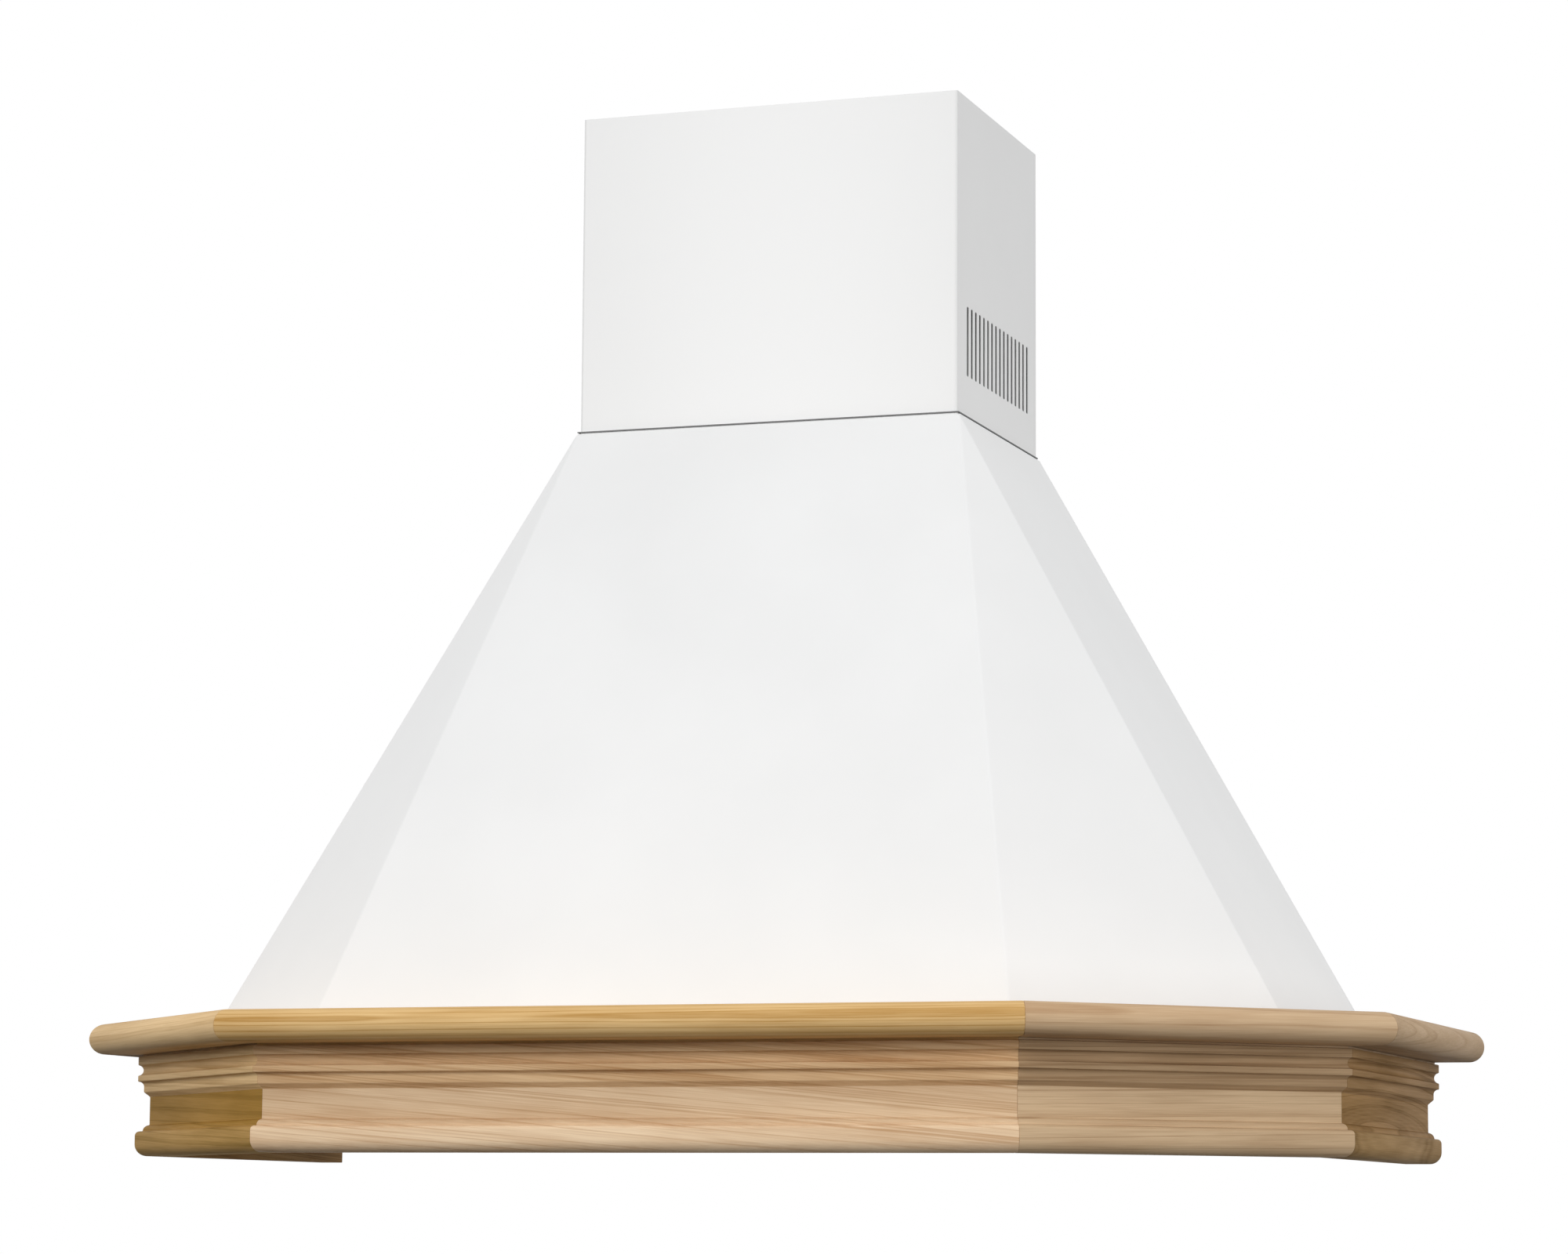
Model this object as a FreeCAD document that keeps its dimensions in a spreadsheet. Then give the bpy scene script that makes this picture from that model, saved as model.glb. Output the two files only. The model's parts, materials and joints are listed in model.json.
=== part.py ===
import FreeCAD, Part
import math
import os
import re
import Sketcher

# A wall hung chimney range hood. A three sided wooden cornice and shelf carry a
# white sheet canopy, a chimney box slides in the canopy's neck, and the blower,
# filters, lamps and switches sit out of sight underneath.
# Frame: +Z up, +Y into the wall, the wall plane at y = 0, +X to the right as
# seen from the room. Heights are written from the underside of the cornice and
# every piece is lowered by the hanging height, so the origin is the middle of the
# four wall fixing holes. All lengths are in millimetres.

V = FreeCAD.Vector
UP = V(0, 0, 1)

DRIVING = {
    "overall_width": 900,
    "overall_depth": 480,
    "corner_leg": 185,
    "shelf_thick": 22,
    "shelf_board": 100,
    "shelf_overhang": 30,
    "cornice_height": 67,
    "cornice_thick": 25,
    "bead_round": 8,
    "bead_edge": 2.5,
    "bead_share": 0.25,
    "fascia_recess": 9,
    "ovolo_radius": 4.2,
    "fascia_share": 0.597,
    "band_share": 0.645,
    "upper_recess": 5,
    "cove_share": 0.7,
    "astragal_share": 0.752,
    "upper_cove_share": 0.811,
    "upper_cove_depth": 3.3,
    "fillet_share": 0.916,
    "fillet_recess": 1.2,
    "block_leg": 24,
    "block_drop": 18,
    "canopy_inset": 80,
    "canopy_sheet": 1,
    "flange_width": 16,
    "neck_height": 498,
    "neck_collar": 28,
    "neck_clearance": 0.5,
    "seal_thick": 1.5,
    "chimney_width": 272,
    "chimney_depth": 195,
    "chimney_sheet": 1,
    "chimney_top": 720,
    "chimney_overlap": 45,
    "chimney_bend": 2,
    "chimney_wall_gap": 2,
    "slit_count": 16,
    "slit_width": 4,
    "slit_height": 48,
    "slit_pitch": 9.7,
    "slit_rise": 29,
    "deflector_depth": 14,
    "deflector_margin": 8,
    "deflector_sheet": 1.5,
    "strap_drop": 14,
    "strap_height": 30,
    "strap_reach": 60,
    "strap_sheet": 1.5,
    "strap_hole_gap": 160,
    "strap_hole_radius": 3,
    "fixing_drop": 98,
    "fixing_wide": 170,
    "fixing_tall": 100,
    "fixing_radius": 4,
    "back_sheet": 1.2,
    "panel_level": 22,
    "panel_sheet": 1.2,
    "panel_upturn": 22,
    "fit_gap": 0.3,
    "panel_depth": 100.7,
    "filter_front_gap": 2,
    "filter_rear": 42,
    "filter_side_gap": 160,
    "filter_middle_gap": 2,
    "filter_thick": 9,
    "filter_rim": 14,
    "filter_front_rim": 34,
    "mesh_sheet": 2.5,
    "mesh_count": 5,
    "mesh_hole": 20,
    "hinge_back": 36,
    "hinge_pin_radius": 2,
    "latch_half": 33,
    "latch_window": 23,
    "latch_length": 16.5,
    "tongue_half": 15,
    "tongue_reach": 3,
    "lamp_share": 0.8,
    "lamp_back": 51,
    "lamp_long": 112,
    "lamp_wide": 42,
    "lamp_border": 8,
    "lamp_height": 34,
    "switch_back": 48,
    "switch_half": 52,
    "switch_height": 24,
    "button_pitch": 19,
    "button_wide": 14,
    "button_deep": 11,
    "button_reach": 3.5,
    "button_gap": 0.4,
    "fan_back": 150,
    "fan_up": 215,
    "fan_radius": 80,
    "scroll_gap": 9,
    "scroll_step": 10,
    "housing_half": 65,
    "housing_wall": 2.5,
    "outlet_up": 120,
    "inlet_radius": 62,
    "blade_count": 21,
    "blade_half": 56,
    "blade_depth": 14,
    "blade_sheet": 1,
    "disc_thick": 3,
    "shaft_radius": 4,
    "motor_radius": 42,
    "motor_length": 56,
    "duct_back": 97.5,
    "duct_radius": 75,
    "duct_height": 50,
    "duct_wall": 2,
    "flap_sheet": 1.2,
    "mouth_half": 48,
    "knuckle_length": 40,
    "spigot_plate": 3,
    "flap_pin_radius": 1.5,
    "bearer_sheet": 1.5,
    "bearer_height": 140,
    "bearer_foot": 40,
    "terminal_side": 190,
    "terminal_up": 170,
    "gland_radius": 8,
    "capacitor_height": 52,
    "screw_head": 3.2,
    "screw_shank": 1.6,
    "screw_bite": 12,
}

doc = FreeCAD.newDocument("chimney_hood")
sheet = doc.addObject("Spreadsheet::Sheet", "Dims")
for row, (word, number) in enumerate(DRIVING.items(), 1):
    sheet.set(f"A{row}", word)
    sheet.set(f"B{row}", str(number))
    sheet.setAlias(f"B{row}", word)
doc.recompute()

PIECES = []
HANG = "(neck_height - fixing_drop)"


def named(text):
    """The expression with each of the sheet's words given its sheet."""
    return re.sub(
        r"[a-z_]+", lambda m: "Dims." + m.group() if m.group() in DRIVING else m.group(), text
    )


def value(text):
    return float(sheet.evalExpression(named(text)))


def bind(thing, prop, text):
    thing.setExpression(prop, named(text))


def seat(thing, x, y, z, rotation=None):
    """Place a piece from the middle of the cornice's underside at the wall."""
    thing.Placement = FreeCAD.Placement(V(0, 0, 0), rotation or FreeCAD.Rotation())
    bind(thing, "Placement.Base.x", x)
    bind(thing, "Placement.Base.y", y)
    bind(thing, "Placement.Base.z", f"{z} - {HANG}")
    return thing


def block(name, xs, ys, zs):
    box = doc.addObject("Part::Box", name)
    for prop, (low, high) in zip(("Length", "Width", "Height"), (xs, ys, zs)):
        bind(box, prop, f"({high}) - ({low})")
    return seat(box, xs[0], ys[0], zs[0])


TURNS = {
    "x": FreeCAD.Rotation(V(0, 1, 0), 90),
    "y": FreeCAD.Rotation(V(1, 0, 0), -90),
    "z": FreeCAD.Rotation(),
}


def rod(name, axis, start, radius, length):
    bar = doc.addObject("Part::Cylinder", name)
    bind(bar, "Radius", radius)
    bind(bar, "Height", length)
    return seat(bar, *start, TURNS[axis])


def fuse(name, parts):
    whole = doc.addObject("Part::MultiFuse", name)
    whole.Shapes = parts
    return whole


def cut(name, base, tools):
    whole = doc.addObject("Part::Cut", name)
    whole.Base = base
    whole.Tool = tools[0] if len(tools) == 1 else fuse(name + "_tools", tools)
    return whole


def keep(piece):
    PIECES.append(piece)
    return piece


def body(label):
    return keep(doc.addObject("PartDesign::Body", label))


def shape_piece(label, shape):
    """A piece set from a shape drawn at cornice heights, then lowered into the frame."""
    piece = doc.addObject("Part::Feature", label)
    piece.Shape = shape
    piece.Placement = FreeCAD.Placement(V(0, 0, -value(HANG)), FreeCAD.Rotation())
    return keep(piece)


def origin_plane(owner, role):
    return next(f for f in owner.Origin.OriginFeatures if f.Role == role)


def hold_point(drawing, geometry, end, x, y):
    for kind, text in (("DistanceX", x), ("DistanceY", y)):
        rule = Sketcher.Constraint(kind, -1, 1, geometry, end, value(text))
        index = drawing.addConstraint(rule)
        bind(drawing, f"Constraints[{index}]", text)


def hold_radius(drawing, geometry, text):
    rule = Sketcher.Constraint("Radius", geometry, abs(value(text)))
    index = drawing.addConstraint(rule)
    bind(drawing, f"Constraints[{index}]", f"abs({text})")


def add_circle(drawing, x, y, radius):
    circle = Part.Circle(V(value(x), value(y), 0), UP, value(radius))
    geometry = drawing.addGeometry(circle, False)
    hold_point(drawing, geometry, 3, x, y)
    hold_radius(drawing, geometry, radius)


def add_loop(drawing, corners):
    """A closed outline. A corner's third text is the radius of the arc that leaves it,
    below zero where the arc turns clockwise."""
    spots = [V(value(c[0]), value(c[1]), 0) for c in corners]
    edges = []
    for index, corner in enumerate(corners):
        here = spots[index]
        there = spots[(index + 1) % len(spots)]
        if len(corner) == 2:
            edges.append((drawing.addGeometry(Part.LineSegment(here, there), False), 1, 2))
            continue
        radius = value(corner[2])
        chord = there - here
        left = V(-chord.y, chord.x, 0).normalize()
        sagitta = abs(radius) - math.sqrt(max(0, radius**2 - (chord.Length / 2) ** 2))
        middle = (here + there) * 0.5 - left * math.copysign(sagitta, radius)
        ends = (here, middle, there) if radius > 0 else (there, middle, here)
        geometry = drawing.addGeometry(Part.Arc(*ends), False)
        edges.append((geometry, 1, 2) if radius > 0 else (geometry, 2, 1))
        hold_radius(drawing, geometry, corner[2])
    for index, (geometry, start, _) in enumerate(edges):
        before, _, finish = edges[index - 1]
        drawing.addConstraint(Sketcher.Constraint("Coincident", before, finish, geometry, start))
        hold_point(drawing, geometry, start, *corners[index][:2])


def sketch(owner, name, plane, loops=(), circles=(), offset=None):
    drawing = owner.newObject("Sketcher::SketchObject", name)
    drawing.AttachmentSupport = [(origin_plane(owner, plane), "")]
    drawing.MapMode = "FlatFace"
    if offset:
        bind(drawing, "AttachmentOffset.Base.z", offset)
    for corners in loops:
        add_loop(drawing, corners)
    for circle in circles:
        add_circle(drawing, *circle)
    return drawing


def pad(owner, profile, length, symmetric=False, back=False):
    feature = owner.newObject("PartDesign::Pad", profile.Name + "_pad")
    feature.Profile = profile
    bind(feature, "Length", length)
    feature.SideType = "Symmetric" if symmetric else "One side"
    feature.Reversed = back
    return feature


def pocket_through(owner, profile):
    feature = owner.newObject("PartDesign::Pocket", profile.Name + "_cut")
    feature.Profile = profile
    feature.Type = "ThroughAll"
    feature.SideType = "Symmetric"
    return feature


def rectangle(xs, ys):
    return [(xs[0], ys[0]), (xs[1], ys[0]), (xs[1], ys[1]), (xs[0], ys[1])]


# The plan is a rectangle with its two front corners cut at 45 degrees, so each
# outline stepped in by an inset keeps mitres that halve the 45 degree turns.
HALF_TURN = "tan(22.5deg)"


def side_x(inset):
    return f"(overall_width/2 - ({inset}))"


def front_y(inset):
    return f"(({inset}) - overall_depth)"


def corner_x(inset):
    return f"(overall_width/2 - corner_leg - ({inset})*{HALF_TURN})"


def corner_y(inset):
    return f"(corner_leg + ({inset})*{HALF_TURN} - overall_depth)"


def plan_points(inset, z):
    """The plan outline at one inset as points, from the left wall end round to the right."""
    a, d = value(side_x(inset)), value(front_y(inset))
    b, s = value(corner_x(inset)), value(corner_y(inset))
    spots = [(-a, 0), (-a, s), (-b, d), (b, d), (a, s), (a, 0)]
    return [V(x, y, z) for x, y in spots]


def face(points):
    return Part.Face(Part.makePolygon(points + points[:1]))


# Cornice and shelf: five mitred boards each, run from a section and cut at the ends.
def frame_boards(kind, section, inset, width, level):
    middle_x = f"({side_x(inset)} + {corner_x(inset)})/2"
    middle_y = f"({front_y(inset)} + {corner_y(inset)})/2"
    slant = f"sqrt(2)*({side_x(inset)} - {corner_x(inset)})"
    half_y = f"{corner_y(inset)}/2"
    side_run = f"-{corner_y(inset)}"
    runs = (
        ("front", 0, "0", front_y(inset), f"2*{corner_x(inset)}", (-1, 1)),
        ("corner_left", -45, f"-{middle_x}", middle_y, slant, (-1, 1)),
        ("corner_right", 45, middle_x, middle_y, slant, (-1, 1)),
        ("side_left", -90, f"-{side_x(inset)}", half_y, side_run, (1,)),
        ("side_right", 90, side_x(inset), half_y, side_run, (-1,)),
    )
    for place, turn, x, y, length, mitres in runs:
        label = f"{kind}_{place}"
        owner = body(label)
        pad(owner, sketch(owner, label + "_section", "YZ_Plane", [section]), length, True)
        for end in mitres:
            tip = f"{end}*({length})/2"
            heel = f"{end}*(({length})/2 - ({width})*{HALF_TURN})"
            wedge = [(tip, "0"), (tip, width), (heel, width)]
            name = f"{label}_mitre_{'right' if end > 0 else 'left'}"
            pocket_through(owner, sketch(owner, name, "XY_Plane", [wedge]))
        seat(owner, x, y, level, FreeCAD.Rotation(UP, turn))


NOSE = "-shelf_thick/2"
SHELF_SECTION = [
    ("shelf_board", "0"),
    ("shelf_thick/2", "0", NOSE),
    ("0", "shelf_thick/2", NOSE),
    ("shelf_thick/2", "shelf_thick"),
    ("shelf_board", "shelf_thick"),
]
COVE_RISE = "((fillet_share - upper_cove_share)*cornice_height)"
CORNICE_SECTION = [
    ("cornice_thick", "0"),
    ("bead_round", "0", "-bead_round"),
    ("0", "bead_round"),
    ("0", "bead_share*cornice_height - bead_edge"),
    ("bead_edge", "bead_share*cornice_height"),
    ("fascia_recess - ovolo_radius", "bead_share*cornice_height", "-ovolo_radius"),
    ("fascia_recess", "bead_share*cornice_height + ovolo_radius"),
    ("fascia_recess", "fascia_share*cornice_height"),
    ("upper_recess", "band_share*cornice_height"),
    ("upper_recess", "cove_share*cornice_height"),
    ("fillet_recess", "astragal_share*cornice_height"),
    (
        "fillet_recess",
        "upper_cove_share*cornice_height",
        f"({COVE_RISE}^2/4 + upper_cove_depth^2)/(2*upper_cove_depth)",
    ),
    ("fillet_recess", "fillet_share*cornice_height"),
    ("fillet_recess", "cornice_height"),
    ("cornice_thick", "cornice_height"),
]
SHELF_TOP = "(cornice_height + shelf_thick)"
CORNICE_INNER = "(shelf_overhang + cornice_thick)"

frame_boards("shelf", SHELF_SECTION, "0", "shelf_board", "cornice_height")
frame_boards("cornice", CORNICE_SECTION, "shelf_overhang", "cornice_thick", "0")


def corner_block(before, corner, after):
    """A glue block in one inner angle of the cornice, tight under the shelf."""
    leg = value("block_leg")
    ends = [corner + (p - corner).normalize() * leg for p in (before, after)]
    return face([corner, *ends]).extrude(UP * value("block_drop"))


inner = plan_points(CORNICE_INNER, value("cornice_height - block_drop"))
blocks = [corner_block(*inner[i - 1 : i + 2]) for i in (1, 2, 3, 4)]
shape_piece("corner_blocks", Part.makeCompound(blocks))


# Canopy: a folded sheet of five flat faces with an inward flange on the shelf and an
# upright collar at the neck that guides the chimney. It is open to the wall.
NECK_X = "(chimney_width/2 + neck_clearance + canopy_sheet)"
NECK_Y = "(chimney_depth + neck_clearance + canopy_sheet)"


def canopy_block(gauge):
    """The canopy's block with its five leaning walls stepped in by a sheet gauge."""
    base_z, neck_z = value(SHELF_TOP), value("neck_height")
    a, d = value(side_x("canopy_inset")), -value(front_y("canopy_inset"))
    slant = value(corner_x("canopy_inset")) + d
    x, y = value(NECK_X), value(NECK_Y)

    def across(run):
        return gauge * math.hypot(1, run / (neck_z - base_z))

    slant -= math.sqrt(2) * across((slant - x - y) / math.sqrt(2))
    step_x, step_y = across(a - x), across(d - y)
    a, x = a - step_x, x - step_x
    d, y = d - step_y, y - step_y
    plan = [(-a, 0), (-a, a - slant), (d - slant, -d), (slant - d, -d), (a, a - slant), (a, 0)]
    base = [V(*spot, base_z) for spot in plan]
    neck = [V(*spot, neck_z) for spot in ((-x, 0), (-x, -y), (x, -y), (x, 0))]
    faces = [
        face(base),
        face(neck),
        face([base[0], neck[0], neck[3], base[5]]),
        face([base[0], base[1], neck[1], neck[0]]),
        face([base[1], base[2], neck[1]]),
        face([base[2], base[3], neck[2], neck[1]]),
        face([base[3], base[4], neck[2]]),
        face([base[4], base[5], neck[3], neck[2]]),
    ]
    return Part.Solid(Part.Shell(faces))


def canopy_shape():
    gauge = value("canopy_sheet")
    base_z, neck_z = value(SHELF_TOP), value("neck_height")
    x, y = value(NECK_X), value(NECK_Y)
    shell = canopy_block(0).cut(canopy_block(gauge))
    tuck = value("canopy_inset") + 0.6 * gauge
    ring = face(plan_points(str(tuck), base_z)).cut(
        face(plan_points("canopy_inset + flange_width", base_z))
    )
    flange = ring.extrude(UP * gauge)
    collar_z = neck_z - value("neck_collar")
    start = value("chimney_wall_gap")
    tall = UP * value("neck_collar")
    rim = [V(-x, -start, collar_z), V(-x, -y, collar_z), V(x, -y, collar_z), V(x, -start, collar_z)]
    hole = [V(p.x - math.copysign(gauge, p.x), max(p.y, gauge - y), collar_z) for p in rim]
    collar = face(rim).extrude(tall).cut(face(hole).extrude(tall))
    return shell.fuse([flange, collar]).removeSplitter()


shape_piece("canopy", canopy_shape())

# Back panel between the canopy's rear edges, with the four wall fixing holes.
LEAN = f"({side_x('canopy_inset')} - {NECK_X})/(neck_height - {SHELF_TOP})"
SHEET_ACROSS = f"(canopy_sheet*sqrt(1 + ({LEAN})^2) + fit_gap)"
SHOULDER = f"({SHELF_TOP} + canopy_sheet + fit_gap)"
SHOULDER_X = f"({side_x('canopy_inset')} - ({LEAN})*(canopy_sheet + fit_gap) - {SHEET_ACROSS})"
LOW_X = f"({side_x('shelf_board')} - fit_gap)"
TOP_X = f"({NECK_X} - {SHEET_ACROSS})"
back_panel = body("back_panel")
right_edge = [
    (LOW_X, "panel_level + panel_sheet"),
    (LOW_X, SHOULDER),
    (SHOULDER_X, SHOULDER),
    (TOP_X, "neck_height"),
]
left_edge = [(f"-{x}", z) for x, z in reversed(right_edge)]
fixings = [
    (f"{i}*fixing_wide/2", f"{HANG} + {j}*fixing_tall/2", "fixing_radius")
    for i in (-1, 1)
    for j in (-1, 1)
]
back_outline = sketch(back_panel, "back_outline", "XZ_Plane", [right_edge + left_edge], fixings)
pad(back_panel, back_outline, "back_sheet")
seat(back_panel, "0", "0", "0")

# Neck seal: a thin dark strip on the canopy's top edge, round three sides of the chimney.
SEAL_X = "(chimney_width/2 + fit_gap)"
SEAL_Y = "(chimney_depth + fit_gap)"
neck_seal = body("neck_seal")
seal_outline = [
    (NECK_X, "-chimney_wall_gap"),
    (NECK_X, f"-{NECK_Y}"),
    (f"-{NECK_X}", f"-{NECK_Y}"),
    (f"-{NECK_X}", "-chimney_wall_gap"),
    (f"-{SEAL_X}", "-chimney_wall_gap"),
    (f"-{SEAL_X}", f"-{SEAL_Y}"),
    (SEAL_X, f"-{SEAL_Y}"),
    (SEAL_X, "-chimney_wall_gap"),
]
pad(neck_seal, sketch(neck_seal, "seal_outline", "XY_Plane", [seal_outline]), "seal_thick")
seat(neck_seal, "0", "0", "neck_height")

# Chimney: a folded three sided box with a row of upright slits in both sides.
CHIMNEY_X = "(chimney_width/2)"
CHIMNEY_IN = "(chimney_width/2 - chimney_sheet)"
FRONT_IN = "(chimney_sheet - chimney_depth)"
BEND_IN = "(chimney_bend - chimney_sheet)"
CHIMNEY_LOW = "(neck_height - chimney_overlap)"
chimney = body("chimney")
chimney_outline = [
    (CHIMNEY_X, "-chimney_wall_gap"),
    (CHIMNEY_X, "chimney_bend - chimney_depth", "-chimney_bend"),
    (f"{CHIMNEY_X} - chimney_bend", "-chimney_depth"),
    (f"chimney_bend - {CHIMNEY_X}", "-chimney_depth", "-chimney_bend"),
    (f"-{CHIMNEY_X}", "chimney_bend - chimney_depth"),
    (f"-{CHIMNEY_X}", "-chimney_wall_gap"),
    (f"-{CHIMNEY_IN}", "-chimney_wall_gap"),
    (f"-{CHIMNEY_IN}", f"{FRONT_IN} + {BEND_IN}", BEND_IN),
    (f"{BEND_IN} - {CHIMNEY_IN}", FRONT_IN),
    (f"{CHIMNEY_IN} - {BEND_IN}", FRONT_IN, BEND_IN),
    (CHIMNEY_IN, f"{FRONT_IN} + {BEND_IN}"),
    (CHIMNEY_IN, "-chimney_wall_gap"),
]
chimney_plan = sketch(chimney, "chimney_plan", "XY_Plane", [chimney_outline])
pad(chimney, chimney_plan, f"chimney_top - {CHIMNEY_LOW}")
first_slit = "(-chimney_depth/2 - slit_pitch*(slit_count - 1)/2)"
slit_low = "(chimney_overlap + slit_rise)"
slit = rectangle(
    (f"{first_slit} - slit_width/2", f"{first_slit} + slit_width/2"),
    (slit_low, f"{slit_low} + slit_height"),
)
slit_drawing = sketch(chimney, "first_slit", "YZ_Plane", [slit])
doc.recompute()
slit_cut = pocket_through(chimney, slit_drawing)
slit_row = chimney.newObject("PartDesign::LinearPattern", "slit_row")
slit_row.Originals = [slit_cut]
slit_row.Direction = (slit_drawing, ["H_Axis"])
bind(slit_row, "Length", "slit_pitch*(slit_count - 1)")
bind(slit_row, "Occurrences", "slit_count")
chimney.Tip = slit_row
seat(chimney, "0", "0", CHIMNEY_LOW)

# Vent deflectors: a dark hood behind each row of slits, open below, that turns the air out.
SLIT_BASE = "(neck_height + slit_rise)"
SLIT_SPAN = "(slit_pitch*(slit_count - 1)/2 + deflector_margin)"
DEFLECTOR_IN = f"({CHIMNEY_IN} - deflector_depth)"
for side, sign in (("left", -1), ("right", 1)):
    name = f"vent_deflector_{side}"
    hood_x = [f"{sign}*{DEFLECTOR_IN}", f"{sign}*{CHIMNEY_IN}"][::sign]
    room_x = [f"{sign}*({DEFLECTOR_IN} + deflector_sheet)", f"{sign}*({CHIMNEY_IN} + 1)"][::sign]
    span = [f"-chimney_depth/2 {way} {SLIT_SPAN}" for way in ("-", "+")]
    room_y = (f"{span[0]} + deflector_sheet", f"{span[1]} - deflector_sheet")
    top = f"{SLIT_BASE} + slit_height + deflector_margin"
    bottom = f"{SLIT_BASE} - deflector_margin"
    hood = block(name + "_blank", hood_x, span, (bottom, top))
    room = block(name + "_room", room_x, room_y, (f"{bottom} - 1", f"{top} - deflector_sheet"))
    keep(cut(name, hood, [room]))

# Chimney strap: a cranked strip screwed to the wall inside the chimney's top.
STRAP_Z = ("chimney_top - strap_drop - strap_height", "chimney_top - strap_drop")
STRAP_X = f"({CHIMNEY_IN} - 0.1)"
strap_back = block(
    "strap_back", (f"-{STRAP_X}", STRAP_X), ("-strap_sheet", "0"), STRAP_Z
)
strap_arms = [
    block("strap_arm_right", (f"{STRAP_X} - strap_sheet", STRAP_X), ("-strap_reach", "0"), STRAP_Z),
    block("strap_arm_left", (f"-{STRAP_X}", f"strap_sheet - {STRAP_X}"), ("-strap_reach", "0"), STRAP_Z),
]
strap_holes = [
    rod(
        f"strap_hole_{side}",
        "y",
        (f"{sign}*strap_hole_gap/2", "-strap_sheet - 1", f"({STRAP_Z[0]} + strap_height/2)"),
        "strap_hole_radius",
        "strap_sheet + 2",
    )
    for side, sign in (("left", -1), ("right", 1))
]
keep(cut("chimney_strap", fuse("strap_blank", [strap_back, *strap_arms]), strap_holes))

# Underside panels: one under the lamps and switches, one beside each filter, and a
# rear rail with the ears that the filters hinge on.
PANEL_TOP = "(panel_level + panel_sheet)"
PANEL_INSET = f"({CORNICE_INNER} + fit_gap)"
PANEL_FRONT = front_y(PANEL_INSET)
PANEL_REAR = f"({PANEL_FRONT} + panel_depth)"
PANEL_REAR_X = f"({side_x(PANEL_INSET)} - ({corner_y(PANEL_INSET)} - {PANEL_REAR}))"
FILTER_FRONT = f"({PANEL_REAR} + filter_front_gap)"
FILTER_SIDE = "(overall_width/2 - filter_side_gap)"
FILTER_MIDDLE = f"(({FILTER_SIDE} + filter_middle_gap)/2)"
LAMP_X = f"({corner_x(PANEL_INSET)}*lamp_share)"
LAMP_Y = f"({PANEL_FRONT} + lamp_back)"
SWITCH_Y = f"({PANEL_FRONT} + switch_back)"


def around(middle, half):
    return (f"{middle} - ({half})", f"{middle} + ({half})")


def sheet_panel(label, outlines, upturn):
    """A flat panel with one edge turned up inside the cornice."""
    owner = body(label)
    pad(owner, sketch(owner, label + "_plan", "XY_Plane", outlines), "panel_sheet")
    pad(owner, sketch(owner, label + "_edge", "XY_Plane", [upturn]), "panel_upturn")
    seat(owner, "0", "0", "panel_level")


# Each filter's latch tongue lies in a notch of the front panel's rear edge.
NOTCH = "(tongue_half + 2)"
NOTCH_Y = f"({PANEL_REAR} - tongue_reach - 2)"
front_outline = [
    (f"-{corner_x(PANEL_INSET)}", PANEL_FRONT),
    (corner_x(PANEL_INSET), PANEL_FRONT),
    (PANEL_REAR_X, PANEL_REAR),
]
for sign in ("", "-"):
    low, high = around(f"{sign}{FILTER_MIDDLE}", NOTCH)
    front_outline += [(high, PANEL_REAR), (high, NOTCH_Y), (low, NOTCH_Y), (low, PANEL_REAR)]
front_outline.append((f"-{PANEL_REAR_X}", PANEL_REAR))
lamp_slots = [
    rectangle(around(f"{sign}{LAMP_X}", "lamp_long/2"), around(LAMP_Y, "lamp_wide/2"))
    for sign in ("-", "")
]
switch_slot = rectangle(around("0", "switch_half - 4"), around(SWITCH_Y, "button_deep/2 + 1"))
front_upturn = rectangle(
    around("0", f"{corner_x(PANEL_INSET)} - panel_sheet"), (PANEL_FRONT, f"{PANEL_FRONT} + panel_sheet")
)
sheet_panel("front_panel", [front_outline, *lamp_slots, switch_slot], front_upturn)

PANEL_BACK = "(-back_sheet - fit_gap)"
for side, sign in (("left", "-"), ("right", "")):
    edge_x = side_x(PANEL_INSET)
    inner_x = f"({FILTER_SIDE} + filter_front_gap)"
    side_outline = [
        (f"{sign}{inner_x}", PANEL_BACK),
        (f"{sign}{edge_x}", PANEL_BACK),
        (f"{sign}{edge_x}", corner_y(PANEL_INSET)),
        (f"{sign}({PANEL_REAR_X} - fit_gap)", f"{PANEL_REAR} + fit_gap"),
        (f"{sign}{inner_x}", f"{PANEL_REAR} + fit_gap"),
    ]
    side_upturn = rectangle(
        (f"{sign}{edge_x}", f"{sign}({edge_x} - panel_sheet)"),
        (f"{corner_y(PANEL_INSET)} + panel_sheet", PANEL_BACK),
    )
    sheet_panel(f"side_panel_{side}", [side_outline], side_upturn)

# The rail's ears stand beside the filters' lugs and take their pins in square eyes; the
# rail's front edge is notched so that the lugs can swing down past it.
HINGE_Z = "(panel_level + filter_thick/2)"
EAR = "(hinge_pin_radius + 1.6)"
EAR_SHEET = "3"
LUG_INSET = "6"
LUG_SHEET = "4"
LUG_GAP = "0.4"
RAIL_FRONT = f"(-hinge_back - {EAR} + fit_gap)"
RAIL_X = (f"-{FILTER_SIDE}", FILTER_SIDE)
rail_parts = [
    block("rail_plate", RAIL_X, (RAIL_FRONT, "-back_sheet"), ("panel_level", PANEL_TOP)),
    block(
        "rail_upturn",
        RAIL_X,
        ("-back_sheet - panel_sheet", "-back_sheet"),
        ("panel_level", "panel_level + 2*panel_upturn"),
    ),
]
rail_cuts = []
FILTERS = (
    ("left", f"(-{FILTER_SIDE})", "(-filter_middle_gap)"),
    ("right", "filter_middle_gap", FILTER_SIDE),
)


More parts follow.
